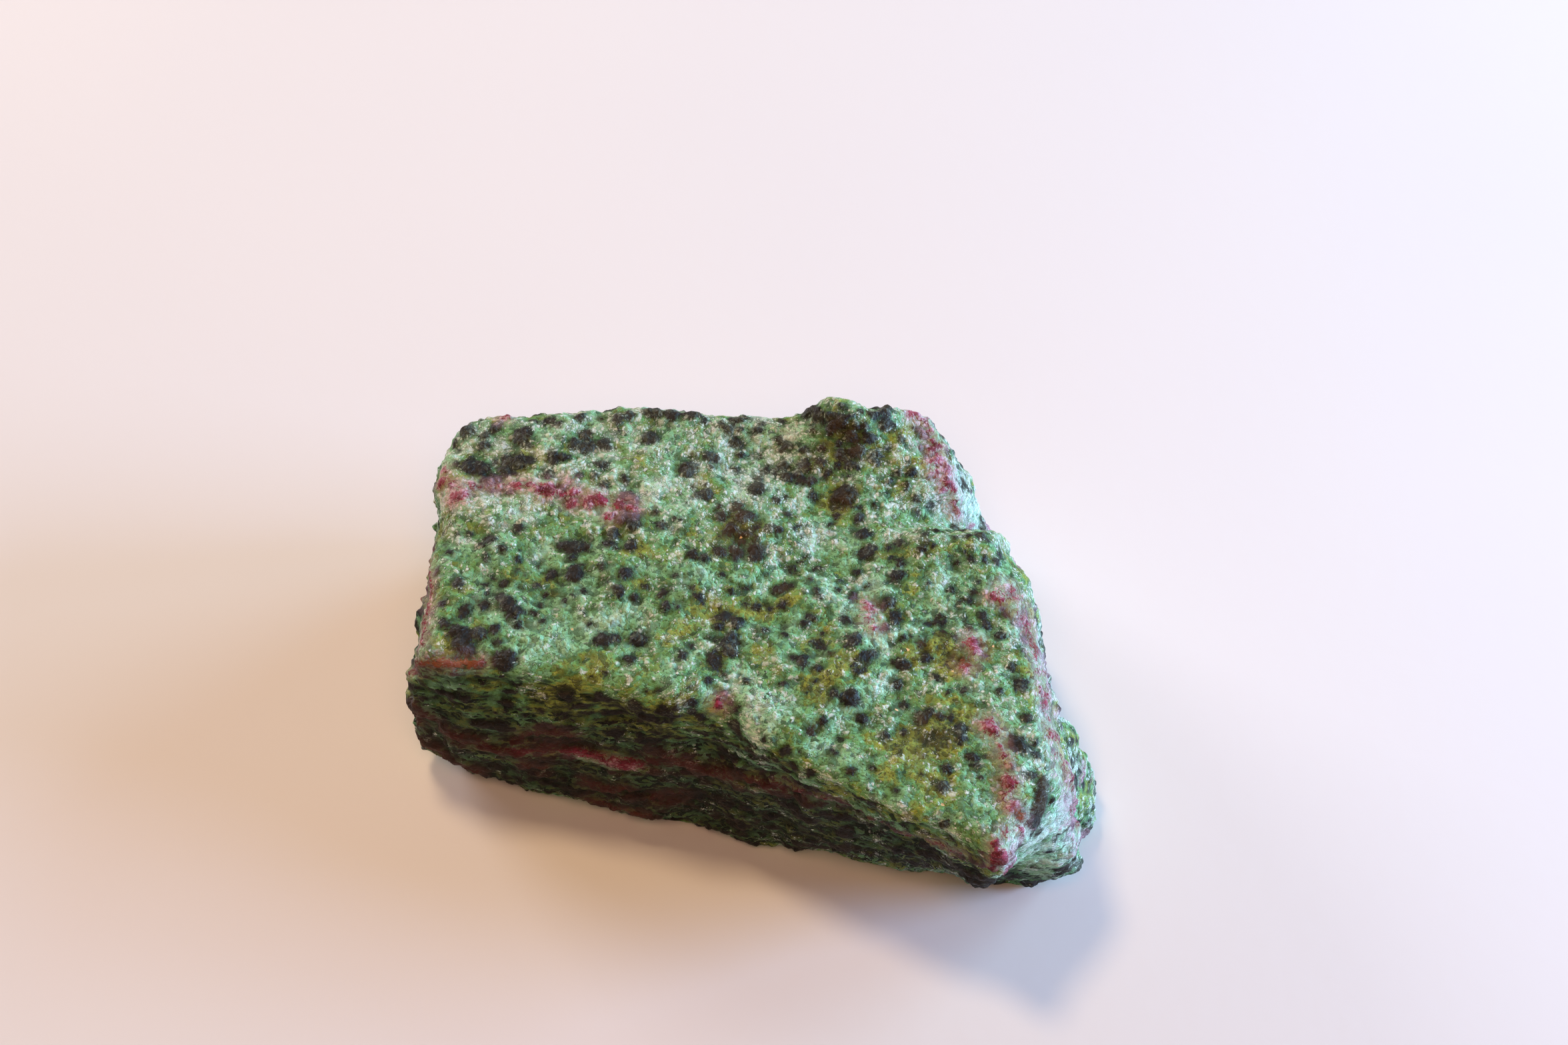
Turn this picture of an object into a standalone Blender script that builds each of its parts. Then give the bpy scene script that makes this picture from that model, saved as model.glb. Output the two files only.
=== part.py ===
"""Ruby in zoisite: a rough, broken block of green zoisite rock with thin ruby seams. One stone, one solid.

Blender 4.5, metres, +Z up. The block lies on its flat parting face at Z = 0, with its longest side along X
and the origin under the middle of its box. Its layers lie almost level, so it broke with a broad flat top,
steep sides that step in and out with the layers, an undercut front corner and a thin ledge low on the right.
"""

import math

import bmesh
import bpy
from mathutils import Vector, noise

MM = 0.001
NAME = "ruby_in_zoisite"

# One row for each station round the block, anticlockwise from the back left corner, in mm: x, y and z of the
# top face's edge, x, y and z of the foot below it, and how far the side bellies out between them.
STATIONS = [
    # left side, back to front
    (-27.4, 19.2, 17.2, -26.4, 17.6, 2.0, 0.6),
    (-28.7, 17.0, 17.0, -28.4, 16.0, 2.0, 0.8),
    (-28.7, 12.5, 16.9, -28.8, 12.3, 1.8, 0.5),
    (-28.3, 8.3, 16.9, -28.4, 8.0, 1.8, 0.5),
    (-28.5, 4.2, 16.9, -28.6, 3.9, 2.0, 0.6),
    (-29.0, 0.2, 16.8, -29.1, 0.0, 2.2, 0.7),
    (-29.5, -4.0, 16.6, -30.0, -3.4, 2.8, 0.9),
    (-29.8, -7.6, 16.5, -30.2, -7.0, 3.2, 1.0),
    # front, left to right
    (-26.2, -8.7, 16.9, -27.0, -9.6, 2.8, 0.6),
    (-21.7, -8.8, 17.1, -22.2, -10.8, 2.2, 0.4),
    (-17.2, -9.4, 17.1, -17.6, -12.2, 2.0, 0.3),
    (-12.9, -10.8, 17.1, -13.0, -13.5, 1.8, 0.3),
    (-7.4, -12.4, 17.1, -8.6, -15.1, 1.8, 0.3),
    (-3.7, -13.7, 16.9, -4.4, -14.9, 1.8, 0.4),
    (-0.9, -15.6, 16.7, -1.2, -16.5, 1.8, 0.4),
    (4.3, -19.0, 17.1, 3.4, -17.8, 1.8, 0.5),
    (8.6, -21.4, 17.1, 7.6, -18.2, 1.8, 0.6),
    (13.0, -24.1, 17.0, 11.8, -19.4, 1.8, 0.7),
    (17.4, -26.4, 16.6, 15.6, -19.9, 1.8, 0.8),
    (21.2, -28.6, 15.9, 19.6, -22.0, 3.6, 1.0),
    # right side, front to back
    (23.2, -25.8, 15.3, 23.0, -23.5, 8.4, 0.3),
    (25.8, -22.3, 14.7, 27.2, -22.8, 5.2, 0.3),
    (27.3, -20.2, 14.8, 29.4, -20.1, 3.2, 0.3),
    (27.7, -17.5, 15.0, 29.2, -17.2, 2.2, -0.2),
    (27.0, -14.0, 15.3, 31.1, -13.8, 1.8, -1.2),
    (26.4, -10.0, 15.6, 31.3, -9.3, 1.8, -1.3),
    (25.7, -5.2, 15.9, 28.4, -5.4, 1.8, -0.4),
    (25.1, -0.5, 16.2, 26.4, -0.5, 1.8, 0.4),
    (23.9, 3.2, 17.0, 25.2, 3.6, 1.8, 0.5),
    (22.4, 6.2, 17.2, 23.8, 7.2, 1.8, 0.6),
    (19.3, 8.0, 16.6, 21.0, 9.7, 1.8, 0.5),
    (19.0, 11.0, 17.0, 23.0, 12.8, 1.8, 1.0),
    (18.1, 15.0, 17.4, 22.2, 16.8, 1.8, 1.1),
    # back, right to left
    (16.9, 19.6, 17.7, 18.9, 20.6, 1.8, 1.0),
    (13.4, 20.5, 18.2, 13.6, 20.4, 1.8, 0.6),
    (8.9, 20.8, 18.7, 8.8, 19.9, 1.8, 0.4),
    (5.3, 20.5, 18.5, 5.2, 19.8, 1.8, 0.5),
    (2.4, 19.6, 18.0, 2.4, 19.4, 1.8, 0.4),
    (-3.0, 20.1, 18.0, -3.0, 19.4, 1.8, 0.4),
    (-9.0, 21.0, 18.1, -9.0, 19.7, 1.8, 0.3),
    (-15.0, 21.2, 18.0, -15.0, 19.7, 1.8, 0.4),
    (-20.2, 20.7, 17.9, -20.0, 19.5, 1.8, 0.5),
    (-24.4, 20.8, 17.7, -23.8, 19.0, 1.8, 0.5),
]
# How far down from edge to foot the shoulder and the waist lie, and how much of the belly each has.
SHOULDER = (0.3, 0.8)
WAIST = (0.65, 1.0)
CROWN_Z = 17.4
CROWN_INSET = 2.4
BASE_Z = -1.0
BASE_SPREAD = 0.7

# Rises and hollows of the top face, in mm: x, y, radius and height.
TOP_RELIEF = [
    (10.5, 15.0, 7.0, 0.6),
    (8.8, 18.6, 3.4, 0.9),
    (12.6, 19.0, 2.0, 0.6),
    (16.0, 5.0, 3.2, 0.8),
    (20.2, 4.4, 3.4, 1.1),
    (14.0, 8.0, 2.8, -1.0),
    (17.6, 8.8, 3.2, -1.7),
    (20.4, 8.8, 2.6, -1.1),
    (1.5, 15.0, 7.0, -0.5),
    (-6.0, 6.0, 9.0, 0.4),
    (8.0, -6.0, 9.0, 0.5),
    (-19.0, 2.0, 8.0, -0.3),
    (-2.4, -14.4, 2.2, -0.9),
]

# The knob under the front corner: x, y, z of its middle and its radius, in mm.
KNOB = (20.2, -19.0, 1.7, 2.1)

# How the layers show on the sides, in mm: height of the layer, half its thickness and how far it stands out.
# BREAKS is how far the upright breaks across the layers move a side in or out.
LAYERS = [
    (1.4, 0.8, -0.35),
    (4.4, 0.9, 0.5),
    (5.9, 0.7, -0.55),
    (8.2, 0.9, 0.7),
    (9.9, 0.9, -0.5),
    (12.9, 1.3, 0.35),
]

BREAKS = 0.6

VOXEL = 0.75
TRIANGLES = 6500
STONE_GREEN = (0.17, 0.32, 0.18, 1.0)


def clear_scene():
    for obj in list(bpy.data.objects):
        bpy.data.objects.remove(obj)


def outward(row):
    """The level direction that points out of the block at a station."""
    before, after = STATIONS[row - 1], STATIONS[(row + 1) % len(STATIONS)]
    along = Vector((after[0] - before[0], after[1] - before[1], 0.0)).normalized()
    return Vector((along.y, -along.x, 0.0))


def rings():
    """The block's outlines from the crown down to the base, each a list of points."""
    crown, edge, shoulder, waist, foot, base = [], [], [], [], [], []
    for row, (x, y, z, foot_x, foot_y, foot_z, belly) in enumerate(STATIONS):
        out = outward(row)
        rim = Vector((x, y, z))
        heel = Vector((foot_x, foot_y, foot_z))
        crown.append(rim - out * CROWN_INSET + Vector((0.0, 0.0, max(0.0, CROWN_Z - z))))
        edge.append(rim)
        shoulder.append(rim.lerp(heel, SHOULDER[0]) + out * belly * SHOULDER[1])
        waist.append(rim.lerp(heel, WAIST[0]) + out * belly * WAIST[1])
        foot.append(heel)
        under = heel - out * BASE_SPREAD * (foot_z - BASE_Z)
        base.append(Vector((under.x, under.y, BASE_Z)))
    return crown, edge, shoulder, waist, foot, base


def block_mesh():
    """A loft through the rings, closed at the top and the base, and the knob as a ball let into it."""
    bm = bmesh.new()
    loops = [[bm.verts.new(point * MM) for point in ring] for ring in rings()]
    for upper, lower in zip(loops, loops[1:]):
        for i in range(len(upper)):
            j = (i + 1) % len(upper)
            bm.faces.new((upper[i], lower[i], lower[j], upper[j]))
    bm.faces.new(loops[0])
    bm.faces.new(list(reversed(loops[-1])))
    bmesh.ops.triangulate(bm, faces=bm.faces[:])
    bmesh.ops.recalc_face_normals(bm, faces=bm.faces[:])
    knob = bmesh.ops.create_icosphere(bm, subdivisions=2, radius=KNOB[3] * MM)
    bmesh.ops.translate(bm, verts=knob["verts"], vec=Vector(KNOB[:3]) * MM)
    mesh = bpy.data.meshes.new(NAME)
    bm.to_mesh(mesh)
    bm.free()
    return mesh


def apply_modifiers(obj):
    """Replaces the object's mesh with what its modifiers make of it."""
    graph = bpy.context.evaluated_depsgraph_get()
    made = bpy.data.meshes.new_from_object(obj.evaluated_get(graph))
    obj.modifiers.clear()
    obj.data = made


def remesh(obj, easing):
    """An even skin of small faces, its corners rounded over by that many rounds of easing."""
    skin = obj.modifiers.new("skin", "REMESH")
    skin.mode = "VOXEL"
    skin.voxel_size = VOXEL * MM
    ease = obj.modifiers.new("ease", "SMOOTH")
    ease.factor = 0.5
    ease.iterations = easing
    apply_modifiers(obj)


def bump(distance, radius):
    """1 at the middle and 0 from the radius outwards, with a smooth fall between."""
    share = min(distance / radius, 1.0)
    return (1.0 - share * share) ** 2


def fold(point):
    """How far the layers rise or sink at a point, in mm: they are gently wavy."""
    return 1.1 * math.sin((point.x + 10.0) / 10.0) + 0.5 * math.sin((point.y - 3.0) / 6.0)


def layering(point):
    """How far a side stands out at a point, in mm: layers that come and go, crossed by upright breaks."""
    out = BREAKS * noise.noise(Vector((point.x / 4.5, point.y / 4.5, 3.0)))
    for height, half, reach in LAYERS:
        wander = noise.noise(Vector((point.x / 7.0, point.y / 7.0, height)))
        away = abs(point.z - height - fold(point) - wander)
        strength = max(0.0, 0.45 + 2.0 * noise.noise(Vector((point.x / 8.0, point.y / 8.0, 20.0 + height))))
        out += reach * strength * bump(away, 2.0 * half)
    return out


def relief(point, normal):
    """How far the surface moves out at a point, in mm: lumps all over, layers on the sides, forms on the top."""
    lumps = 0.5 * noise.noise(point / 7.0) + 0.3 * noise.noise(point / 2.6)
    facets = 0.35 * abs(noise.noise(point / 4.0 + Vector((9.0, 0.0, 0.0))))
    moved = lumps - facets + (1.0 - abs(normal.z)) * layering(point)
    upward = max(0.0, normal.z)
    for x, y, radius, height in TOP_RELIEF:
        moved += upward * height * bump(math.hypot(point.x - x, point.y - y), radius)
    return moved


def weather(obj):
    """Moves each vertex along its normal by the relief."""
    mesh = obj.data
    normals = [vertex.normal.copy() for vertex in mesh.vertices]
    for vertex, normal in zip(mesh.vertices, normals):
        vertex.co += normal * relief(vertex.co / MM, normal) * MM
    mesh.update()


def decimate(obj):
    """Fewer, larger facets, kept finest where the surface bends most."""
    mesh = obj.data
    mesh.calc_loop_triangles()
    fewer = obj.modifiers.new("fewer", "DECIMATE")
    fewer.ratio = TRIANGLES / len(mesh.loop_triangles)
    fewer.use_collapse_triangulate = True
    apply_modifiers(obj)


def cut_base(obj):
    """Cuts the block off flat at Z = 0, the parting face that it rests on."""
    bm = bmesh.new()
    bm.from_mesh(obj.data)
    everything = bm.verts[:] + bm.edges[:] + bm.faces[:]
    cut = bmesh.ops.bisect_plane(
        bm, geom=everything, plane_co=(0.0, 0.0, 0.0), plane_no=(0.0, 0.0, -1.0), clear_outer=True
    )
    edges = [item for item in cut["geom_cut"] if isinstance(item, bmesh.types.BMEdge)]
    bmesh.ops.holes_fill(bm, edges=edges)
    bmesh.ops.triangulate(bm, faces=bm.faces[:])
    bmesh.ops.recalc_face_normals(bm, faces=bm.faces[:])
    bm.to_mesh(obj.data)
    bm.free()


def centre(obj):
    """Puts the middle of the block's box over the origin."""
    mesh = obj.data
    for axis in (0, 1):
        values = [vertex.co[axis] for vertex in mesh.vertices]
        shift = (min(values) + max(values)) / 2.0
        for vertex in mesh.vertices:
            vertex.co[axis] -= shift
    mesh.update()


def stone_material():
    material = bpy.data.materials.new("zoisite_with_ruby")
    material.use_nodes = True
    shader = material.node_tree.nodes["Principled BSDF"]
    shader.inputs["Base Color"].default_value = STONE_GREEN
    shader.inputs["Roughness"].default_value = 0.75
    shader.inputs["Metallic"].default_value = 0.0
    return material


def main():
    clear_scene()
    collection = bpy.data.collections.new("ruby in zoisite")
    bpy.context.scene.collection.children.link(collection)
    block = bpy.data.objects.new(NAME, block_mesh())
    collection.objects.link(block)
    remesh(block, 2)
    weather(block)
    remesh(block, 1)
    decimate(block)
    cut_base(block)
    centre(block)
    block.data.materials.clear()
    block.data.materials.append(stone_material())


main()
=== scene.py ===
"""Ruby in zoisite: the looks of one rough block of green zoisite rock, with hornblende grains and thin ruby seams."""

import logging
from collections.abc import Iterable
from dataclasses import dataclass, field
from enum import Enum

import bpy
import numpy as np
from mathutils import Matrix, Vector
from mathutils.bvhtree import BVHTree


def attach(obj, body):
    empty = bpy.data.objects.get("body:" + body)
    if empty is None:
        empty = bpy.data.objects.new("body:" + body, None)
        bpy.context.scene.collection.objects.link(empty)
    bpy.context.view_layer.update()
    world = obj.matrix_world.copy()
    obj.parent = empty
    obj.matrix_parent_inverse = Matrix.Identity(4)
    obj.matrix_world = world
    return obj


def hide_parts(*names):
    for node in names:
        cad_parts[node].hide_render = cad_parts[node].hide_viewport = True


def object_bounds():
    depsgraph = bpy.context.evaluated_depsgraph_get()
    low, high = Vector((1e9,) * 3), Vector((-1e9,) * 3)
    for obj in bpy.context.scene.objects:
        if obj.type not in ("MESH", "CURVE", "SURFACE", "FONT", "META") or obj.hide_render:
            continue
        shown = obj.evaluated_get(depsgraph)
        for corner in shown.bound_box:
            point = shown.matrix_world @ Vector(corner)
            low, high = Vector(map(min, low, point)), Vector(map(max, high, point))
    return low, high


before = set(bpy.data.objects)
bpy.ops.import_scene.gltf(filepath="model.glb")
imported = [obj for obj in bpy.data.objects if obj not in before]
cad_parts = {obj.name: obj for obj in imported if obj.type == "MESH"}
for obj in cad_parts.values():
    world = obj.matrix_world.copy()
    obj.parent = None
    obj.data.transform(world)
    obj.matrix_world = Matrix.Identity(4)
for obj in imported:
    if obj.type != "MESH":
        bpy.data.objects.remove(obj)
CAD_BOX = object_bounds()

MM = 0.001
NODE = "ruby_in_zoisite"
Tree = bpy.types.NodeTree
Socket = bpy.types.NodeSocket
log = logging.getLogger("ruby in zoisite")

# ---------------------------------------------------------------------------------------------------------
# Where the single grains lie. Each is given on a level plane through the top face and seen from the
# camera: x, y and radius in mm. A sight line through that point finds the place on the stone.
# ---------------------------------------------------------------------------------------------------------
PLANE_Z = 17.4

# A depth in mm that no grain reaches, for "far outside".
OUTSIDE = -9.0

# How far from level a face stands before it counts as a side, and where it counts in full.
STEEP = (0.3, 0.75)

HORNBLENDE = (
    # back left
    (-25.9, 21.2, 0.8), (-24.4, 20.9, 0.6), (-23.4, 21.7, 0.6), (-21.0, 20.8, 0.9), (-24.5, 19.7, 0.6),
    (-26.7, 17.5, 0.4), (-25.4, 17.2, 0.9), (-24.5, 16.8, 0.8), (-22.2, 17.8, 0.9), (-21.0, 17.7, 0.9),
    (-20.2, 17.8, 0.6), (-22.4, 16.7, 0.8), (-23.6, 15.5, 0.9), (-23.2, 14.6, 0.7), (-18.0, 18.2, 0.8),
    (-17.0, 18.3, 0.6), (-18.4, 16.2, 0.6), (-15.2, 19.3, 0.9), (-16.1, 19.7, 0.6), (-15.2, 20.8, 0.7),
    (-13.6, 19.8, 0.7), (-13.6, 17.3, 0.7), (-13.4, 15.0, 0.5), (-16.2, 15.7, 0.3), (-11.5, 15.7, 0.5),
    (-18.6, 22.7, 0.6), (-17.8, 22.1, 0.5), (-15.7, 22.9, 0.6), (-12.4, 22.7, 0.6), (-11.3, 23.3, 0.6),
    (-9.0, 23.6, 0.9), (-7.4, 23.5, 0.7), (-9.4, 20.6, 0.8), (-12.2, 21.2, 0.3),
    # middle left
    (-10.8, 13.3, 0.8), (-11.3, 13.8, 0.6), (-11.0, 11.7, 0.9), (-10.6, 10.7, 0.8), (-11.8, 11.0, 0.5),
    (-12.4, 9.4, 0.7), (-12.7, 8.2, 0.6), (-10.8, 8.2, 0.7), (-15.9, 7.9, 0.9), (-16.8, 8.2, 0.5),
    (-14.8, 8.0, 0.6), (-15.7, 5.0, 0.85), (-17.7, 4.7, 0.65), (-26.0, 3.9, 0.6), (-21.8, 3.9, 0.45),
    (-23.4, 3.6, 0.35), (-18.9, 3.5, 0.4), (-14.8, 3.1, 0.4), (-15.8, 2.7, 0.3), (-23.4, 1.5, 0.6),
    (-27.2, 1.9, 0.5), (-25.2, 1.0, 0.6), (-22.0, 2.1, 0.6), (-21.4, 1.5, 0.8), (-20.8, 0.6, 0.8),
    (-19.2, 0.5, 0.4), (-28.0, 0.6, 0.3), (-27.0, -0.5, 0.5), (-26.0, -1.3, 0.7), (-25.0, -1.8, 0.9),
    (-24.0, -1.6, 0.9), (-25.3, -2.6, 0.8), (-24.6, -3.2, 0.6), (-22.4, -1.1, 0.5), (-22.2, -2.5, 0.4),
    (-20.2, -0.7, 0.4), (-18.4, -0.3, 0.4), (-18.4, 1.7, 0.35), (-13.0, -2.3, 0.8), (-11.8, -1.9, 0.5),
    (-9.9, -2.1, 0.75), (-21.4, -4.5, 1.1), (-10.6, -4.5, 0.6), (-20.7, 6.6, 0.35), (-22.1, 7.8, 0.5),
    (-23.3, 8.8, 0.6), (-24.2, 8.4, 0.4), (-25.2, 9.5, 0.4), (-26.8, 7.3, 0.4), (-27.7, 9.5, 0.3),
    (-20.8, 10.2, 0.6), (-23.4, 6.6, 0.25), (-13.2, 5.8, 0.4), (-11.2, 4.9, 0.7), (-11.8, 3.3, 0.6),
    (-10.3, 2.4, 0.4), (-9.3, 3.6, 0.4), (-7.5, 1.3, 0.6), (-8.2, 10.5, 0.5),
    # back middle
    (-5.7, 23.3, 0.8), (-7.5, 23.0, 0.6), (-4.8, 23.2, 0.5), (-1.7, 22.8, 0.5), (-1.3, 22.5, 0.5),
    (-2.8, 22.1, 0.4), (-2.2, 21.4, 0.5), (-1.4, 20.0, 0.6), (-1.2, 19.7, 0.4), (0.8, 22.2, 0.4),
    (2.7, 22.5, 0.4), (5.3, 23.3, 0.9), (6.0, 23.0, 0.7), (6.7, 24.5, 0.6), (8.0, 22.4, 0.9),
    (7.0, 22.8, 0.6), (7.0, 21.3, 0.6), (9.0, 20.5, 0.7), (5.3, 21.2, 0.4), (4.8, 19.0, 0.5),
    (6.2, 19.3, 0.5), (8.2, 18.5, 0.7), (9.5, 18.8, 0.7), (-3.8, 18.3, 0.6), (-3.3, 18.2, 0.5),
    (-3.8, 17.4, 0.4), (-1.2, 18.4, 0.4), (0.0, 18.5, 0.3), (0.6, 18.5, 0.3), (-5.8, 17.0, 0.9),
    (-1.3, 16.8, 0.4), (2.8, 17.2, 0.6), (3.0, 16.0, 0.7), (4.0, 16.0, 0.5), (4.7, 17.3, 0.7),
    (5.2, 16.5, 0.3), (6.2, 17.6, 0.5), (6.8, 16.3, 0.5), (5.2, 15.3, 0.6), (4.3, 15.5, 0.5),
    (7.8, 17.3, 0.5), (8.8, 17.3, 0.6), (0.5, 15.7, 0.5), (0.5, 14.7, 0.9), (-4.2, 15.2, 0.3),
    (-4.2, 14.0, 0.7), (-5.0, 13.8, 0.4), (-5.3, 14.8, 0.3), (5.3, 13.8, 0.5), (8.3, 13.8, 1.0),
    (7.5, 13.6, 0.4), (9.1, 13.9, 0.4), (8.7, 12.8, 0.4), (-3.0, 12.6, 0.4), (-1.3, 12.7, 0.5),
    (-2.7, 11.5, 0.6), (-0.8, 11.5, 0.8), (0.0, 11.5, 0.5), (-1.8, 10.2, 0.6), (-2.2, 9.7, 0.5),
    (-0.8, 9.5, 0.5), (-1.0, 8.5, 0.4), (0.4, 10.3, 0.4), (0.5, 7.5, 0.9), (0.3, 6.7, 0.5),
    (-2.8, 7.3, 0.7), (-1.3, 7.0, 0.6), (-5.3, 7.2, 0.6), (-4.2, 6.8, 0.5), (3.2, 11.7, 0.4),
    (4.0, 10.2, 0.5), (2.4, 9.8, 0.5), (1.5, 10.0, 0.4), (4.8, 9.3, 0.3), (7.1, 10.5, 0.3),
    (10.0, 9.5, 0.7), (9.5, 9.7, 0.4), (10.6, 9.3, 0.4), (10.2, 7.4, 0.8), (10.8, 7.6, 0.4),
    (9.7, 7.1, 0.5), (9.6, 11.2, 0.5), (3.5, 5.8, 0.5), (-6.2, 11.0, 0.3),
    # hill and back right
    (12.2, 24.2, 0.6), (12.0, 23.6, 0.8), (11.0, 23.3, 0.6), (12.2, 22.2, 0.8), (12.7, 22.3, 0.5),
    (10.8, 20.5, 0.7), (10.4, 20.2, 0.5), (13.6, 20.3, 0.4), (15.4, 20.9, 0.6), (15.2, 21.3, 0.5),
    (7.4, 21.7, 0.6), (8.9, 20.9, 0.5), (11.6, 18.5, 0.5), (10.8, 18.1, 0.4), (11.3, 17.5, 0.5),
    (14.0, 17.6, 0.3), (14.6, 16.5, 0.5), (13.2, 16.5, 0.4), (12.5, 15.4, 0.4), (14.0, 15.0, 0.4),
    (9.6, 17.2, 0.5), (19.2, 15.2, 0.7), (18.7, 15.6, 0.3), (14.9, 13.1, 0.4), (16.1, 12.5, 0.5),
    (14.8, 11.7, 0.4), (18.8, 9.8, 0.9), (18.2, 10.3, 0.4), (19.4, 9.3, 0.4), (20.4, 9.2, 0.6),
    (21.0, 8.8, 0.4), (15.4, 9.5, 0.5), (15.2, 7.6, 0.5), (15.6, 8.6, 0.3), (13.2, 8.6, 0.5),
    (12.3, 8.0, 0.4), (13.9, 8.3, 0.3), (13.2, 6.3, 0.4), (12.5, 6.6, 0.3), (22.3, 7.0, 0.4),
    (22.1, 7.8, 0.3), (20.8, 6.6, 0.4), (19.4, 6.6, 0.4), (18.8, 7.4, 0.3), (18.1, 6.2, 0.3),
    (9.4, 5.2, 0.4), (22.6, 9.0, 0.4), (19.9, 12.6, 0.3), (6.7, 16.3, 0.4), (10.4, 21.8, 0.4),
    # middle
    (-4.5, 2.5, 0.4), (-4.3, 1.7, 0.3), (-1.8, 3.0, 0.35), (-0.6, 3.3, 0.4), (2.2, 3.2, 0.6),
    (2.9, 3.6, 0.5), (2.8, 1.4, 0.5), (1.7, 1.2, 0.4), (0.5, 1.5, 0.4), (-2.3, 0.2, 0.7),
    (-2.9, 0.1, 0.4), (-1.3, -0.5, 0.6), (-2.8, -1.0, 0.5), (-3.5, -1.9, 0.3), (-1.7, -2.4, 0.8),
    (-1.5, -1.9, 0.5), (-1.9, -3.5, 0.7), (-2.4, -2.9, 0.4), (-3.2, -4.3, 0.7), (-2.9, -5.1, 0.5),
    (-6.0, -3.9, 0.5), (-5.2, -2.9, 0.4), (5.1, 0.3, 0.5), (4.6, -0.5, 0.4), (5.4, 0.1, 0.4),
    (5.8, 2.5, 0.35), (6.1, 2.3, 0.3), (8.9, 2.5, 0.5), (8.5, 0.0, 0.5), (9.0, -2.3, 0.7),
    (8.5, -2.8, 0.4), (9.3, -1.9, 0.4), (5.7, -2.6, 0.5), (6.2, -3.0, 0.4), (4.4, -4.5, 0.6),
    (4.7, -4.2, 0.4), (5.9, -5.2, 0.5), (9.3, -5.7, 0.4), (9.8, -5.4, 0.4), (9.5, -4.4, 0.4),
    (3.0, -6.9, 0.4), (-0.4, -6.6, 0.4), (-3.7, -6.6, 0.5), (8.6, -8.4, 0.9), (8.2, -9.0, 0.4),
    (9.6, -10.6, 0.6), (6.2, -10.9, 0.5), (5.2, -11.9, 0.5), (-7.4, -9.7, 0.5), (-6.9, -10.9, 0.4),
    (-5.1, -10.4, 0.5), (-1.8, -9.0, 0.4), (-2.2, -8.2, 0.4), (-1.3, -9.8, 0.4), (-1.5, -11.5, 0.6),
    (-1.2, -12.3, 0.5), (-0.7, -13.2, 0.3), (1.0, -13.1, 0.4), (2.9, -14.2, 0.6), (7.2, -14.1, 0.4),
    (7.8, -12.6, 0.3), (3.5, -16.0, 0.6), (5.0, -16.4, 0.5), (8.6, -16.1, 0.5), (1.2, -15.3, 0.5),
    (-3.3, -13.7, 0.4), (5.2, 4.4, 0.4), (9.1, -5.0, 0.3), (3.6, 5.4, 0.4), (9.2, 5.2, 0.3),
    (7.6, 3.2, 0.3), (-6.8, 4.9, 0.3), (-7.4, 1.4, 0.4), (-6.3, 1.5, 0.3),
    # right and front right
    (12.8, 4.8, 0.7), (13.3, 4.9, 0.4), (12.6, 4.0, 0.4), (12.2, 1.8, 0.6), (11.8, 1.5, 0.4),
    (8.1, 0.0, 0.4), (12.8, 0.2, 0.7), (13.0, 0.9, 0.3), (12.6, -0.4, 0.4), (11.8, -1.0, 0.6),
    (10.0, -4.0, 0.6), (10.6, -3.8, 0.5), (13.1, -4.9, 0.7), (12.4, -4.6, 0.3), (12.7, -7.0, 0.6),
    (16.1, -6.3, 0.5), (14.9, -2.6, 0.5), (16.8, -1.3, 0.3), (15.7, 3.9, 0.3), (19.2, 1.9, 0.5),
    (18.4, 1.9, 0.4), (19.5, 2.8, 0.4), (17.5, 3.1, 0.4), (20.4, 0.1, 0.5), (20.6, -0.7, 0.5),
    (20.0, 4.1, 0.3), (23.1, 3.0, 0.4), (22.2, 0.6, 0.4), (21.9, 1.0, 0.3), (23.7, -0.4, 0.6),
    (24.0, 0.7, 0.4), (24.1, -2.3, 0.5), (23.8, -3.3, 0.4), (22.8, -5.2, 0.5), (23.5, -7.0, 0.7),
    (18.4, -7.7, 0.5), (21.6, -7.9, 0.4), (13.1, -9.2, 0.5), (14.7, -10.6, 0.7), (15.4, -9.9, 0.5),
    (16.3, -10.4, 0.5), (14.5, -10.1, 0.4), (13.2, -11.9, 0.4), (18.0, -11.8, 0.6), (18.2, -12.7, 0.5),
    (18.9, -14.5, 0.6), (17.9, -13.2, 0.4), (19.2, -15.4, 0.4), (22.6, -13.0, 0.8), (23.2, -13.8, 0.7),
    (22.3, -12.4, 0.4), (24.2, -14.4, 0.4), (16.8, -15.7, 0.5), (16.4, -17.5, 0.6), (12.3, -18.0, 0.4),
    (25.0, -17.5, 0.7), (24.5, -20.0, 0.9), (24.8, -19.0, 0.8), (24.1, -21.5, 0.9), (24.4, -22.5, 0.5),
    (16.3, -21.6, 0.5), (14.6, -16.5, 0.3), (22.9, -20.5, 0.5), (10.5, -15.8, 0.3), (17.0, 0.2, 0.3),
    (15.5, -0.4, 0.4),
    # front edge
    (-15.9, -8.5, 0.7), (-13.0, -8.8, 0.8), (-10.1, -9.5, 0.6), (-4.3, -10.9, 0.6), (-24.5, -8.8, 0.5),
    (-21.0, -9.5, 0.6), (-0.3, -14.4, 0.5), (19.2, -27.3, 1.5), (18.1, -26.8, 1.2), (17.0, -25.8, 0.9),
    # the crest of the hill
    (7.2, 24.3, 0.5), (8.2, 24.1, 0.4), (12.1, 23.9, 0.4), (8.9, 23.1, 0.5), (6.3, 22.4, 0.4), (9.6, 21.9, 0.5),
    (10.4, 21.1, 0.35), (9.4, 20.0, 0.4), (7.9, 19.7, 0.4), (9.9, 23.6, 0.35), (12.9, 21.4, 0.3), (12.3, 19.3, 0.3),
)

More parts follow.
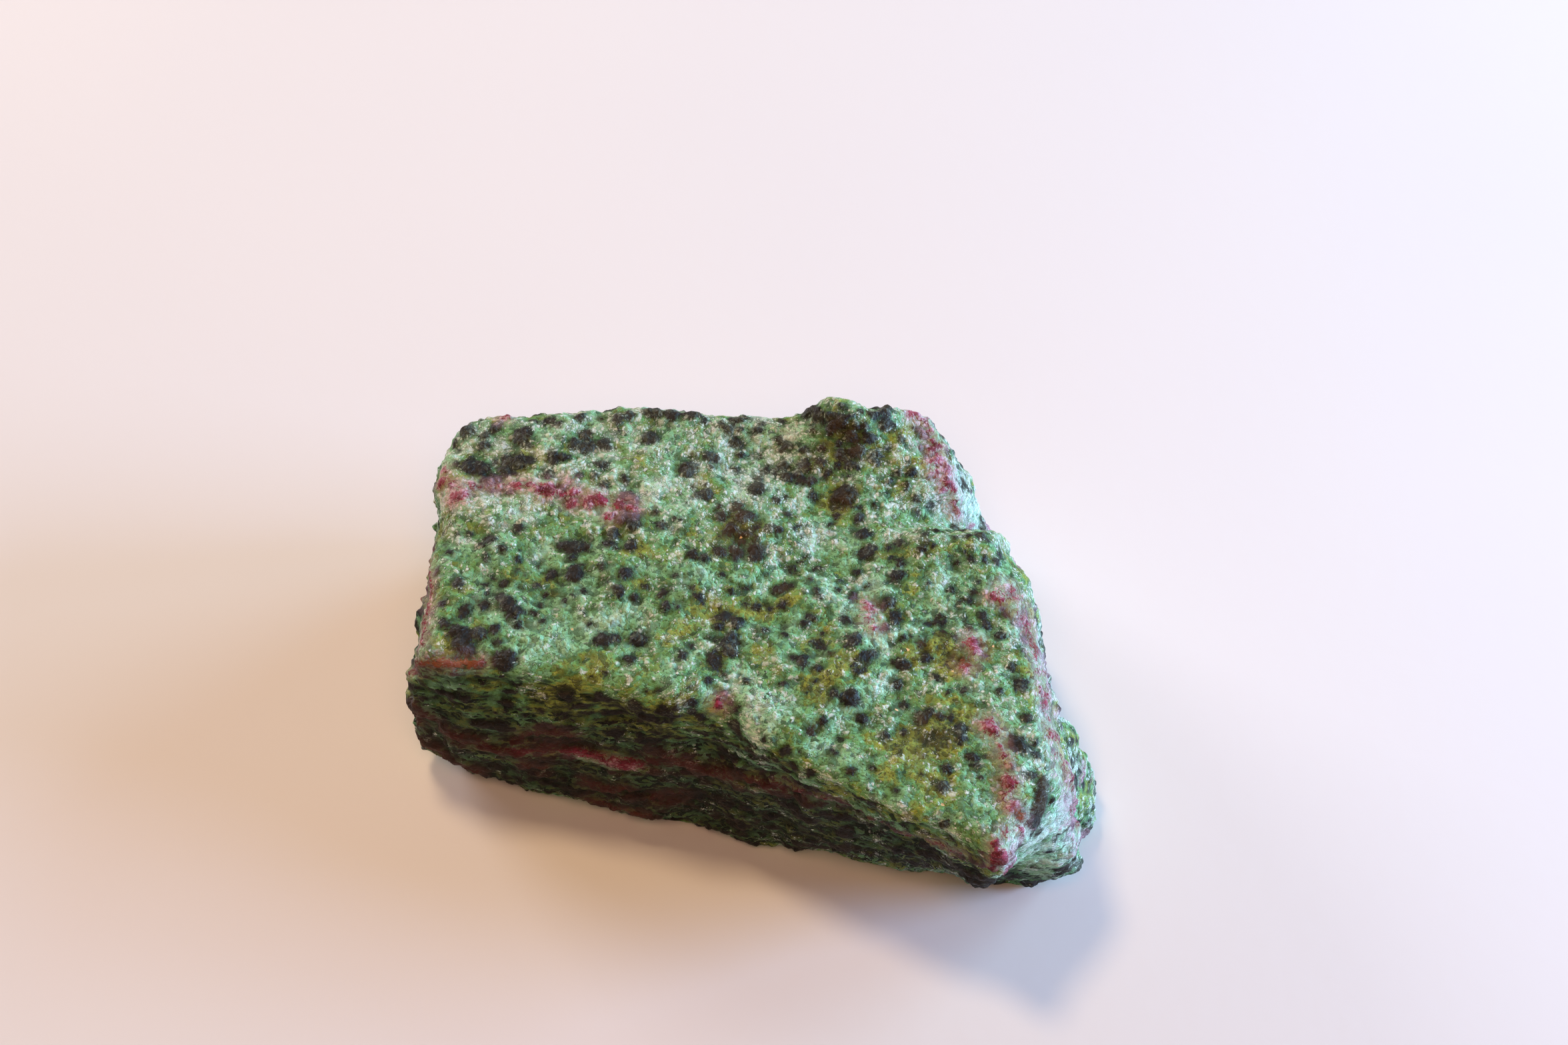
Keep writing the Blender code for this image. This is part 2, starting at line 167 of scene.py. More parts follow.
# Grains that have rusted to brown, and places where rust has crept into the green round them.
RUSTY = (
    (-23.1, 20.0, 0.5), (-24.2, 2.2, 0.7), (8.0, 12.7, 1.2), (-1.2, 9.0, 2.2), (-1.4, 11.8, 1.6),
    (7.6, 21.5, 1.2), (9.4, 19.2, 1.0), (6.4, 19.4, 0.8), (2.8, 3.2, 0.8), (5.2, 4.4, 0.5),
    (-4.6, 5.1, 0.5), (6.5, -8.8, 0.5), (7.0, -3.8, 0.5), (3.8, -11.1, 0.3), (14.9, -2.6, 0.7),
    (16.5, 15.7, 0.5), (25.0, -17.6, 0.9), (24.6, -19.6, 1.0), (12.6, -9.9, 0.5), (22.9, -20.5, 0.8),
    (-25.0, -4.9, 1.8), (5.5, -11.6, 0.8), (18.4, -4.2, 1.0), (0.5, 11.0, 0.8), (14.4, -10.9, 0.9),
    (-27.6, -4.7, 1.5), (9.0, 21.0, 0.8),
)

# Ruby grains on the open faces.
RUBY = (
    (-28.0, 16.7, 0.4), (-28.2, 15.1, 0.5), (-27.0, 15.0, 0.3), (-25.4, 15.2, 0.3), (-26.8, 13.6, 0.7),
    (-26.0, 13.7, 0.5), (-22.8, 14.9, 0.4), (-21.4, 15.0, 0.5), (-20.2, 14.9, 0.4), (-19.0, 14.5, 0.5),
    (-18.3, 14.4, 0.7), (-16.6, 15.5, 0.25), (-16.8, 13.9, 0.4), (-16.0, 14.1, 0.5), (-16.1, 12.9, 0.6),
    (-14.6, 13.1, 0.7), (-13.6, 13.3, 0.6), (-11.8, 12.8, 0.6), (-10.8, 12.4, 0.5), (-12.8, 11.5, 0.5),
    (-22.7, 23.0, 0.5), (-28.8, 6.3, 0.5), (-28.9, 2.3, 0.5), (-29.3, 0.0, 0.45), (-29.7, -5.7, 0.4),
    (14.7, 23.0, 0.6), (15.5, 22.9, 0.5), (15.0, 23.4, 0.4), (15.8, 22.3, 0.35), (16.1, 21.3, 0.3),
    (16.5, 20.1, 0.35), (16.3, 19.2, 0.5), (17.0, 19.5, 0.4), (16.9, 18.5, 0.3), (16.9, 17.8, 0.5),
    (16.4, 17.6, 0.4), (17.6, 17.0, 0.5), (17.8, 16.4, 0.4), (16.6, 16.3, 0.35), (17.6, 15.4, 0.5),
    (17.9, 14.9, 0.5), (18.2, 14.4, 0.4), (17.3, 14.4, 0.3), (18.3, 12.7, 0.3), (18.5, 12.1, 0.35),
    (18.7, 11.8, 0.3), (10.0, 1.8, 0.3), (10.2, 1.4, 0.35), (10.5, 1.1, 0.4), (10.3, -0.1, 0.3),
    (10.9, -1.1, 0.3), (21.3, 2.3, 0.4), (21.8, 1.9, 0.3), (19.4, -2.6, 0.6), (19.6, -3.4, 0.5),
    (18.7, -5.1, 0.5), (18.3, -4.7, 0.3), (-2.8, -9.3, 0.5), (-2.6, -8.9, 0.4), (20.4, -11.3, 0.7),
    (20.8, -11.9, 0.5), (21.2, -13.4, 0.3), (21.5, -14.4, 0.4), (21.7, -15.6, 0.3), (21.9, -17.2, 0.65),
    (21.5, -18.5, 0.3), (22.3, -19.7, 0.5), (22.9, -20.8, 0.35), (22.7, -22.2, 0.4), (22.9, -22.8, 0.2),
    (21.4, -22.4, 0.3), (20.7, -23.5, 0.5), (21.0, -25.2, 1.0), (20.1, -26.2, 0.6),
)

# Ruby bars and threads: half width in mm, then the points that they run through.
RUBY_THREADS = (
    # the bar at the left end of the crest
    (0.4, ((-29.0, -5.0), (-26.5, -5.0), (-23.6, -4.8))),
    # the left edge
    (0.2, ((-28.3, 9.5), (-28.5, 4.5), (-28.6, 0.5), (-28.8, -2.8), (-29.2, -6.0))),
    (0.3, ((-28.9, -9.3), (-28.6, -11.6))),
    # dusty links between single grains on the top
    (0.1, ((-28.0, 15.8), (-26.0, 14.4), (-22.8, 15.0), (-20.2, 14.9), (-18.3, 14.5), (-16.0, 13.9), (-13.6, 13.3))),
    (-0.05, ((14.2, 23.6), (15.9, 22.6), (16.4, 20.2), (16.6, 18.5), (17.2, 16.8), (17.9, 14.8), (18.4, 12.4))),
    (-0.1, ((20.4, -11.5), (21.5, -14.4), (21.9, -17.3), (22.3, -19.7), (22.8, -21.6), (21.3, -22.6), (20.6, -24.2))),
    (0.0, ((19.5, -2.4), (19.4, -3.6), (18.5, -5.0))),
    (0.0, ((10.1, 1.6), (10.5, 0.2), (10.9, -1.2))),
    # the front: one long seam, a short one above it, and scraps below it and at the foot
    (0.45, ((-28.4, -9.9), (-26.6, -12.0), (-23.7, -13.3), (-20.8, -14.5), (-17.4, -13.8), (-13.9, -14.5))),
    (0.4, ((-13.9, -14.5), (-10.5, -15.7), (-7.1, -15.1), (-4.3, -16.1), (-1.4, -17.1), (1.4, -17.9), (3.9, -19.1))),
    (0.15, ((3.9, -19.1), (7.0, -20.0), (9.8, -21.5), (12.6, -22.8), (15.4, -23.8), (17.6, -24.8))),
    (0.3, ((-20.3, -13.3), (-17.7, -12.0), (-15.2, -12.7))),
    (0.4, ((-19.3, -15.7), (-17.9, -16.1))),
    (0.3, ((-13.9, -17.5), (-12.7, -18.1), (-10.4, -18.3))),
    (0.35, ((-8.2, -19.1), (-5.9, -18.9))),
    (0.4, ((-27.7, -13.0), (-26.5, -14.4), (-23.4, -16.4))),
    (0.4, ((-16.1, -18.9), (-13.8, -19.3), (-10.9, -20.3), (-8.7, -21.0))),
)

# The crust of crushed ruby along the right edge, from the back down to the foot, given in the same way.
RUBY_CRUST = (
    (0.7, ((22.5, 3.4), (24.0, 0.3), (25.0, -3.1), (25.4, -6.1), (25.7, -8.5), (25.9, -9.9))),
    (1.1, ((26.0, -11.8), (26.6, -14.0), (27.0, -16.6), (27.3, -18.7), (27.6, -21.0), (27.7, -23.2), (27.8, -25.6))),
)

# Zones of the green: x, y, radius in mm, and how far it leans to mint (+) or to olive (-).
ZONES = (
    (-17.0, -2.0, 4.5, 0.7), (-26.5, -3.2, 2.0, -0.6), (-1.3, 9.5, 3.0, -0.7), (-6.5, 19.0, 2.2, -0.3),
    (7.8, 20.5, 3.5, -0.6), (7.0, 8.2, 3.2, 0.5), (11.5, 11.0, 2.6, -0.25), (7.6, 12.6, 1.3, -0.9),
    (10.5, 17.0, 1.2, -0.6), (13.5, 16.0, 3.0, -0.5), (14.5, 12.3, 2.4, 0.4), (19.8, 12.5, 2.0, 0.7),
    (14.6, 19.5, 1.4, 0.5), (17.5, 11.3, 2.6, 0.6), (-6.8, -2.5, 3.4, 0.1), (3.9, -2.6, 1.6, 0.1),
    (6.6, -1.8, 1.2, -0.7), (6.2, -6.5, 2.8, -0.55), (1.2, -10.6, 2.8, 0.8), (6.8, -14.6, 2.0, 0.6),
    (-0.6, -7.0, 3.0, 0.45), (14.8, 4.6, 2.0, -0.15), (21.0, 4.4, 1.6, -0.05), (15.6, -4.0, 3.2, -0.7),
    (15.8, -12.8, 3.4, -0.9), (14.0, -18.5, 3.4, -0.5), (22.5, -15.3, 1.0, -0.6), (11.0, -2.8, 1.6, 0.5),
    (11.4, -7.6, 2.4, 0.5), (21.6, -2.0, 1.8, 0.4), (20.6, -7.2, 2.4, 0.4), (24.6, -14.5, 2.6, 0.6),
    (25.4, -22.0, 3.0, 0.7), (-4.0, 3.0, 3.5, -0.1), (-12.0, 1.0, 3.0, 0.3), (-25.0, 12.0, 3.0, 0.1),
    (0.0, 13.5, 3.0, 0.5), (-8.0, 14.0, 3.0, 0.4), (10.2, 3.6, 1.2, 0.6), (22.2, -24.0, 1.2, 0.6),
    (0.5, 18.5, 4.5, 0.6), (15.5, 1.0, 5.5, 0.25), (14.8, -11.0, 5.0, -0.4),
    (24.4, -23.0, 3.6, 0.6), (24.8, -25.1, 4.5, 0.75), (26.8, -25.8, 4.0, 0.7),
    (-20.0, -2.4, 3.2, 0.7), (-15.8, -8.8, 3.4, -0.8), (-9.6, -10.6, 3.4, -0.7),
)

# Faces that broke clean: x, y, radius in mm. No stain and few black grains there.
BARE = (
    (24.4, -23.4, 4.2), (22.8, -25.4, 3.5), (24.8, -25.1, 6.0), (26.6, -22.5, 4.5), (27.0, -26.5, 5.5),
    (-20.0, -2.2, 5.0), (-14.5, -3.5, 3.0), (1.5, -10.5, 3.0),
)

# Single mica flakes that catch the warm lamp; the glint is painted into their colour.
GLINTS = (
    (-6.8, -2.7), (7.2, -2.5), (-0.9, 9.0), (-15.7, -1.2), (17.3, 12.8), (19.0, 4.8), (21.2, -2.8), (18.3, -3.5),
    (17.4, -5.5), (17.1, -3.9), (13.8, -3.4), (13.1, -10.3), (12.6, -9.6), (11.1, -13.3), (10.5, -14.2),
    (16.2, -19.5), (11.3, -18.5), (-16.7, 4.3),
)

# Seams of ruby that lie in the layers and show as level lines on the left, back and right: height, half
# thickness in mm, and how much of the way round they can be seen.
LEVEL_SEAMS = ((10.4, 0.8, 0.5), (4.6, 0.5, 0.22), (14.0, 0.45, 0.05), (7.4, 0.35, 0.05), (1.6, 0.4, 0.1))

# The front crest, which has lost its edge, from the middle of the front to the nose.
CREST = ((-12.0, -11.0), (-6.9, -13.3), (-3.9, -13.9), (0.2, -16.4), (3.9, -18.4), (10.4, -22.2), (14.1, -23.8))

# Places where the worn copy has to stand out or in a little to keep the stone's outline: x, y, z, how far
# round them it reaches, and how far out (+) or in (-), all in mm.
NUDGES = (
    (7.0, 23.6, 18.1, 3.0, 1.0), (10.9, 23.4, 18.9, 1.8, -0.6), (15.4, 22.8, 17.4, 1.6, 0.4),
    (17.6, 22.2, 16.4, 1.9, -0.75), (21.8, 19.0, 8.6, 2.6, -1.0), (26.3, 2.6, 11.0, 4.0, -0.6),
    (29.3, -17.6, 7.4, 2.6, -0.75), (26.3, -17.4, 1.4, 2.6, -0.6), (18.2, -20.0, 5.4, 2.8, -0.95),
    (22.8, -17.6, 1.6, 2.0, -0.3), (6.5, -14.5, 1.6, 3.0, -0.5), (-7.2, -10.6, 1.0, 2.6, -0.95),
    (30.4, -7.4, 2.8, 2.4, 0.9), (28.2, -6.0, 8.2, 2.8, 0.95), (-27.3, -6.0, 2.6, 3.0, -0.25),
    (-20.9, 23.6, 17.0, 1.8, -0.3), (-25.1, 23.1, 16.4, 1.8, 0.3), (-15.1, 23.4, 17.2, 1.6, 0.3),
    (-29.5, 17.0, 12.0, 3.5, -0.2), (-29.7, -3.6, 4.0, 2.6, 0.8), (-29.2, 2.2, 14.6, 2.4, 0.8),
    (-30.1, -3.0, 10.2, 3.4, 0.65), (26.4, -7.4, 14.6, 2.2, 0.45),
    (-26.5, 21.7, 16.4, 1.8, 0.5), (22.1, 9.5, 16.3, 2.0, 0.5), (14.0, 23.0, 17.6, 1.6, 0.4),
    (13.4, -16.4, 2.2, 2.4, 0.35), (23.1, -16.8, 0.6, 2.0, -0.3), (29.3, -5.6, 4.4, 2.2, 0.8),
)


class Mark(Enum):
    """What is written on the mesh for the material to read, each a number at every vertex."""

    HORNBLENDE = "hornblende"
    RUBY = "ruby"
    RUST = "rust"
    TONE = "tone"
    FROST = "frost"
    HOLLOW = "hollow"
    SIDE = "side"
    GLINT = "glint"
    LEVEL = "level"


# ---------------------------------------------------------------------------------------------------------
# Small tools
# ---------------------------------------------------------------------------------------------------------


def linear(code: str) -> tuple[float, float, float, float]:
    """Turns an sRGB colour to the linear one that a shader takes.

    Args:
        code: Six hex digits after a #.

    Returns:
        Red, green, blue and an alpha of 1.
    """
    parts = [int(code[i : i + 2], 16) / 255.0 for i in (1, 3, 5)]
    red, green, blue = (p / 12.92 if p <= 0.04045 else ((p + 0.055) / 1.055) ** 2.4 for p in parts)
    return red, green, blue, 1.0


def rise(values: np.ndarray, low: float, high: float) -> np.ndarray:
    """A smooth step from 0 at low to 1 at high.

    Args:
        values: Any numbers.
        low: Where the step starts.
        high: Where it ends.

    Returns:
        Numbers from 0 to 1.
    """
    share = np.clip((values - low) / (high - low), 0.0, 1.0)
    return share * share * (3.0 - 2.0 * share)


def dice(cell: np.ndarray, salt: int) -> np.ndarray:
    """Steady random numbers for whole-numbered cells of space.

    Args:
        cell: Whole numbers, one row of three for each cell.
        salt: Tells one set of random numbers from another.

    Returns:
        Five numbers from 0 to 1 in each row.
    """
    word = (cell.astype(np.int64) @ np.array([73856093, 19349663, 83492791]) + salt * 40503617) & 0xFFFFFFFF
    rolls = []
    for _ in range(5):
        word = ((word ^ (word >> 15)) * 739982445) & 0xFFFFFFFF
        word = ((word ^ (word >> 12)) * 695872825) & 0xFFFFFFFF
        word = word ^ (word >> 15)
        rolls.append(word / 4294967296.0)
    return np.stack(rolls, axis=1)


def ripples(points: np.ndarray, size: float, salt: int) -> np.ndarray:
    """Smooth noise.

    Args:
        points: Places in mm, one row each.
        size: About how wide one ripple is, in mm.
        salt: Tells one noise from another.

    Returns:
        Numbers from about -1 to 1.
    """
    scaled = points / size
    low = np.floor(scaled)
    share = scaled - low
    ease = share**3 * (share * (share * 6.0 - 15.0) + 10.0)
    total = np.zeros(len(points))
    for corner in np.ndindex(2, 2, 2):
        step = np.array(corner, float)
        weight = np.prod(np.where(step > 0.5, ease, 1.0 - ease), axis=1)
        slope = dice(low + step, salt)[:, :3] * 2.0 - 1.0
        total += weight * np.sum(slope * (share - step), axis=1)
    return total * 1.5


def grains(points: np.ndarray, size: float, salt: int) -> tuple[np.ndarray, np.ndarray, np.ndarray]:
    """Packs space with grains, as crystals pack a rock.

    Args:
        points: Places in mm, one row each.
        size: How wide a grain is on average, in mm.
        salt: Tells one packing from another.

    Returns:
        The distance to the middle of the nearest grain, the distance to the next, both in mm, and five
        random numbers for the nearest.
    """
    scaled = points / size
    home = np.floor(scaled)
    first = np.full(len(points), 9.0)
    second = np.full(len(points), 9.0)
    rolls = np.zeros((len(points), 5))
    for offset in np.ndindex(3, 3, 3):
        cell = home + np.array(offset) - 1.0
        roll = dice(cell, salt)
        away = np.linalg.norm(cell + roll[:, :3] - scaled, axis=1)
        nearer = away < first
        second = np.where(nearer, first, np.minimum(second, away))
        first = np.where(nearer, away, first)
        rolls[nearer] = dice(cell, salt + 1)[nearer]
    return first * size, second * size, rolls


def lenses(points: np.ndarray, size: float, crowd: np.ndarray, salt: int) -> np.ndarray:
    """Scatters single grains through the rock.

    Args:
        points: Places in mm, one row each, stretched upwards where the grains lie flat.
        size: How wide the largest grains are, in mm.
        crowd: At each point, the share from 0 to 1 of the places for grains that are taken.
        salt: Tells one scatter from another.

    Returns:
        How deep in the nearest grain each point lies, in mm: below 0 outside.
    """
    scaled = points / size
    home = np.floor(scaled)
    depth = np.full(len(points), OUTSIDE)
    for offset in np.ndindex(3, 3, 3):
        cell = home + np.array(offset) - 1.0
        roll = dice(cell, salt)
        radius = (0.26 + 0.34 * roll[:, 3]) * rise(crowd - roll[:, 4], -0.02, 0.12)
        away = np.linalg.norm(cell + roll[:, :3] - scaled, axis=1)
        depth = np.maximum(depth, np.where(radius > 0.05, radius - away, OUTSIDE))
    return depth * size


def add_node(tree: Tree, kind: str, feeds: dict | tuple = (), **settings: object) -> bpy.types.Node:
    """Adds a node with its settings and links.

    Args:
        tree: The material's node tree.
        kind: The shader node's type, such as Math.
        feeds: What goes into its sockets, in order or by name: a value, or the output that feeds it.
        **settings: The node's own settings.

    Returns:
        The new node.
    """
    made = tree.nodes.new("ShaderNode" + kind)
    for name, value in settings.items():
        setattr(made, name, value)
    for name, value in feeds.items() if isinstance(feeds, dict) else enumerate(feeds):
        if isinstance(value, Socket):
            tree.links.new(value, made.inputs[name])
        else:
            made.inputs[name].default_value = value
    return made


def set_ramp(node: bpy.types.Node, stops: Iterable[tuple[float, str]]) -> None:
    """Gives a colour ramp its stops.

    Args:
        node: A colour ramp node.
        stops: Place from 0 to 1 and sRGB colour, in order.
    """
    ramp = node.color_ramp
    for i, (place, code) in enumerate(stops):
        stop = ramp.elements[i] if i < len(ramp.elements) else ramp.elements.new(place)
        stop.position = place
        stop.color = linear(code)


def deselect_all() -> None:
    """Deselects everything, so that an operator acts only on what is picked next."""
    bpy.ops.object.select_all(action="DESELECT")


def pick(obj: bpy.types.Object) -> None:
    """Makes one object the selected and active one."""
    deselect_all()
    obj.select_set(True)
    bpy.context.view_layer.objects.active = obj


# ---------------------------------------------------------------------------------------------------------
# Finishes
# ---------------------------------------------------------------------------------------------------------


@dataclass(frozen=True)
class ZoisiteRock:
    """Rough broken zoisite rock (anyolite), as it split: sugary green zoisite, black hornblende, ruby corundum.

    To the eye it is a frosted green with a faint glow, since light goes a little way into the glassy grains.
    The hornblende is dull to satin charcoal, and the ruby crimson under a pink bruise of crushed crystal.
    """

    name: str = "rough_zoisite_with_ruby"
    # zoisite, from rust-stained olive through the usual green to the palest mint
    olive: str = "#4c5014"
    leaf: str = "#9fb048"
    green: str = "#6aa65f"
    mint: str = "#93d2a0"
    pale: str = "#c8f0d4"
    deep: str = "#142417"
    frost: str = "#e7f4ec"
    # hornblende, fresh, dusty and rusted
    black: str = "#0e0b07"
    charcoal: str = "#241d14"
    rust: str = "#3f2c12"
    dust: str = "#8c9b85"
    # ruby, deep, usual and bruised
    wine: str = "#5c1220"
    crimson: str = "#9c2f4a"
    bruise: str = "#d6a9b7"
    earth: str = "#4a211b"
    clay: str = "#6e453c"
    tan: str = "#9a5a38"
    # painted glint: the warm lamp's reflection on the mica flakes
    painted_glint: str = "#ffd9a0"
    # how strong each effect is at most, from 0 to 1
    clearness: float = 0.75
    gap_depth: float = 0.7
    # steep faces darkened towards deep green: partly stain, partly painted shade
    side_stain_and_shade: float = 0.45
    crushed_white: float = 0.3
    rust_stain: float = 0.75
    grain_halo: float = 0.55
    # painted shade: how far the hollows are darkened
    hollow_shade_strength: float = 0.55
    facet_tilt: float = 0.22
    # sizes in mm
    sugar: float = 0.55
    speck: float = 0.3
    grit: float = 0.15
    lying_flat: float = 2.6
    ior: float = 1.65
    gloss: float = 0.22
    glow: float = 0.1
    glow_depth: float = 0.6

    def make(self) -> bpy.types.Material:
        """Builds the material.

        Returns:
            The finished material.
        """
        material = bpy.data.materials.new(self.name)
        material.use_nodes = True
        tree = material.node_tree
        tree.nodes.clear()
        marks = {
            mark: add_node(tree, "Attribute", attribute_name=mark.value).outputs["Fac"] for mark in Mark
        }
        where = self._places(tree, marks)
        green = self._zoisite(tree, where, marks)
        dusted, frost = self._frost(tree, where, marks, green)
        dark, dark_share = self._hornblende(tree, where, marks, dusted, frost)
        red = self._ruby(tree, where, marks, dark, frost)
        self._skin(tree, where, marks, red, dark_share, frost)
        return material

    def _places(self, tree: Tree, marks: dict) -> dict[str, Socket]:
        """Coordinates and noises that several parts of the material share.

        Args:
            tree: The material's node tree.
            marks: The mesh's attributes.

        Returns:
            Name to output socket.
        """
        own = add_node(tree, "TexCoord").outputs["Object"]
        mm = add_node(tree, "VectorMath", (own, (1000.0,) * 3), operation="MULTIPLY").outputs[0]
        # grains lie flat in the wavy layers, so height is measured along them and every pattern is squashed
        parts = add_node(tree, "SeparateXYZ", (mm,))
        tall = add_node(tree, "Math", (marks[Mark.LEVEL], self.lying_flat), operation="MULTIPLY").outputs[0]
        flat = add_node(tree, "CombineXYZ", (parts.outputs[0], parts.outputs[1], tall)).outputs[0]
        stir = add_node(tree, "TexNoise", {"Vector": flat, "Scale": 1.3, "Detail": 2.0, "Roughness": 0.6})
        shift = add_node(tree, "VectorMath", (stir.outputs["Color"], (0.5,) * 3), operation="SUBTRACT").outputs[0]
        lying = add_node(tree, "VectorMath", (shift, (0.8,) * 3, flat), operation="MULTIPLY_ADD").outputs[0]
        fine = add_node(tree, "TexNoise", {"Vector": lying, "Scale": 3.4, "Detail": 3.0, "Roughness": 0.68})
        broad = add_node(tree, "TexNoise", {"Vector": lying, "Scale": 0.36, "Detail": 3.0, "Roughness": 0.55})
        cell = add_node(tree, "TexVoronoi", {"Vector": lying, "Scale": 1.0 / self.sugar})
        rolls = add_node(tree, "SeparateColor", {"Color": cell.outputs["Color"]})
        return {
            "lying": lying,
            "fine": fine.outputs["Fac"],
            "broad": broad.outputs["Fac"],
            "cell": cell.outputs["Distance"],
            "cell_colour": cell.outputs["Color"],
            "roll_a": rolls.outputs[0],
            "roll_b": rolls.outputs[1],
            "roll_c": rolls.outputs[2],
        }

    def _zoisite(self, tree: Tree, where: dict, marks: dict) -> Socket:
        """The green ground: every sugary grain has its own tint, inside zones of mint and olive.

        Args:
            tree: The material's node tree.
            where: Shared coordinates and noises.
            marks: The mesh's attributes.

        Returns:
            The colour.
        """
        tint = add_node(tree, "MapRange", (marks[Mark.TONE], -1.2, 1.2, 0.14, 0.86)).outputs[0]
        for noise, low, reach in (("broad", 0.32, 0.5), ("roll_a", 0.0, 0.16), ("fine", 0.3, 0.16)):
            limits = {"From Min": low, "From Max": 1.0 - low, "To Min": -0.5 * reach, "To Max": 0.5 * reach}
            swing = add_node(tree, "MapRange", {"Value": where[noise], **limits}).outputs[0]
            tint = add_node(tree, "Math", (tint, swing), operation="ADD").outputs[0]
        ramp = add_node(tree, "ValToRGB", {"Fac": tint})
        set_ramp(ramp, ((0.02, self.olive), (0.25, self.leaf), (0.45, self.green), (0.7, self.mint), (1.0, self.pale)))
        # clear grains let the eye into the dark below them
        clear = add_node(tree, "MapRange", (where["roll_b"], 0.5, 1.0, 0.0, self.clearness)).outputs[0]
        gaps = add_node(tree, "MapRange", (where["fine"], 0.48, 0.36, 0.0, self.gap_depth)).outputs[0]
        # steep faces are darkened towards deep green: partly stain, partly painted shade
        sides = add_node(tree, "Math", (marks[Mark.SIDE], self.side_stain_and_shade, clear), operation="MULTIPLY_ADD").outputs[0]
        dim = add_node(tree, "Math", (sides, gaps), operation="MAXIMUM").outputs[0]
        deeper = add_node(
            tree, "Mix", {"Factor": dim, "A": ramp.outputs["Color"], "B": linear(self.deep)}, data_type="RGBA"
        )
        return deeper.outputs["Result"]

    def _frost(self, tree: Tree, where: dict, marks: dict, ground: Socket) -> tuple[Socket, Socket]:
        """Crushed grains: short cream flecks all over, thickest on what stands proud.

        Args:
            tree: The material's node tree.
            where: Shared coordinates and noises.
            marks: The mesh's attributes.
            ground: The colour under the frost.

        Returns:
            The frosted colour, and how much frost there is from 0 to 1.
        """
        total = None
        kinds = (
            (self.speck, (1.0, 0.7, 1.0), 0.95),
            (self.speck * 1.6, (0.7, 1.0, 1.2), 0.7),
            (self.grit, (1.0, 1.0, 1.0), 0.9),
        )
        for size, stretch, strength in kinds:
            along = add_node(tree, "VectorMath", (where["lying"], stretch), operation="MULTIPLY").outputs[0]
            speck = add_node(tree, "TexVoronoi", {"Vector": along, "Scale": 1.0 / size})
            roll = add_node(tree, "SeparateColor", {"Color": speck.outputs["Color"]}).outputs[0]
            keen = add_node(tree, "Math", (roll, marks[Mark.FROST]), operation="ADD").outputs[0]
            reach = add_node(tree, "MapRange", (keen, 0.97, 1.4, 0.0, 0.5)).outputs[0]
            inside = add_node(tree, "Math", (reach, speck.outputs["Distance"]), operation="SUBTRACT").outputs[0]
            fleck = add_node(tree, "MapRange", (inside, -0.17, 0.17, 0.0, strength)).outputs[0]
            total = fleck if total is None else add_node(tree, "Math", (total, fleck), operation="MAXIMUM").outputs[0]
        crushed = add_node(tree, "MapRange", (marks[Mark.FROST], 0.34, 0.8, 0.0, self.crushed_white)).outputs[0]
        total = add_node(tree, "Math", (total, crushed), operation="MAXIMUM").outputs[0]
        frosted = add_node(tree, "Mix", {"Factor": total, "A": ground, "B": linear(self.frost)}, data_type="RGBA")
        return frosted.outputs["Result"], total

    def _hornblende(self, tree: Tree, where: dict, marks: dict, ground: Socket, frost: Socket) -> tuple[Socket, Socket]:
        """Hornblende grains, with rust in and round them and a dusting of frost that thins towards the middle.

        Args:
            tree: The material's node tree.
            where: Shared coordinates and noises.
            marks: The mesh's attributes.
            ground: The colour round the grains.
            frost: How much frost there is from 0 to 1.

        Returns:
            The colour, and the grains' share from 0 to 1.
        """
        # rust that has crept into the green
        stain = add_node(tree, "MapRange", (marks[Mark.RUST], 0.05, 0.9, 0.0, self.rust_stain)).outputs[0]
        patchy = add_node(tree, "MapRange", (where["fine"], 0.38, 0.58)).outputs[0]
        stain = add_node(tree, "Math", (stain, patchy), operation="MULTIPLY").outputs[0]
        halo = add_node(tree, "MapRange", (marks[Mark.HORNBLENDE], -0.45, 0.0, 0.0, self.grain_halo)).outputs[0]
        bare = add_node(tree, "Math", (1.0, frost), operation="SUBTRACT").outputs[0]
        around = add_node(tree, "Math", (halo, bare), operation="MULTIPLY").outputs[0]
        shaded = add_node(
            tree, "Mix", {"Factor": around, "A": ground, "B": linear(self.deep)}, data_type="RGBA"
        ).outputs["Result"]
        rusted = add_node(
            tree, "Mix", {"Factor": stain, "A": shaded, "B": linear(self.rust)}, data_type="RGBA"
        ).outputs["Result"]
        # the grains
        crumble = add_node(tree, "MapRange", (where["fine"], 0.25, 0.75, -0.26, 0.26)).outputs[0]
        edge = add_node(tree, "Math", (marks[Mark.HORNBLENDE], crumble), operation="ADD").outputs[0]
        share = add_node(tree, "MapRange", (edge, -0.1, 0.1)).outputs[0]
        body = add_node(
            tree,
            "Mix",
            {"Factor": where["roll_c"], "A": linear(self.black), "B": linear(self.charcoal)},
            data_type="RGBA",
        ).outputs["Result"]
        tan = add_node(tree, "Math", (marks[Mark.RUST], 0.8), operation="MULTIPLY", use_clamp=True).outputs[0]
        body = add_node(
            tree, "Mix", {"Factor": tan, "A": body, "B": linear(self.rust)}, data_type="RGBA"
        ).outputs["Result"]
        dusting = add_node(tree, "MapRange", (edge, 0.0, 0.4, 0.75, 0.25)).outputs[0]
        dusting = add_node(tree, "Math", (dusting, frost), operation="MULTIPLY").outputs[0]
        body = add_node(
            tree, "Mix", {"Factor": dusting, "A": body, "B": linear(self.dust)}, data_type="RGBA"
        ).outputs["Result"]
        made = add_node(tree, "Mix", {"Factor": share, "A": rusted, "B": body}, data_type="RGBA")
        return made.outputs["Result"], share

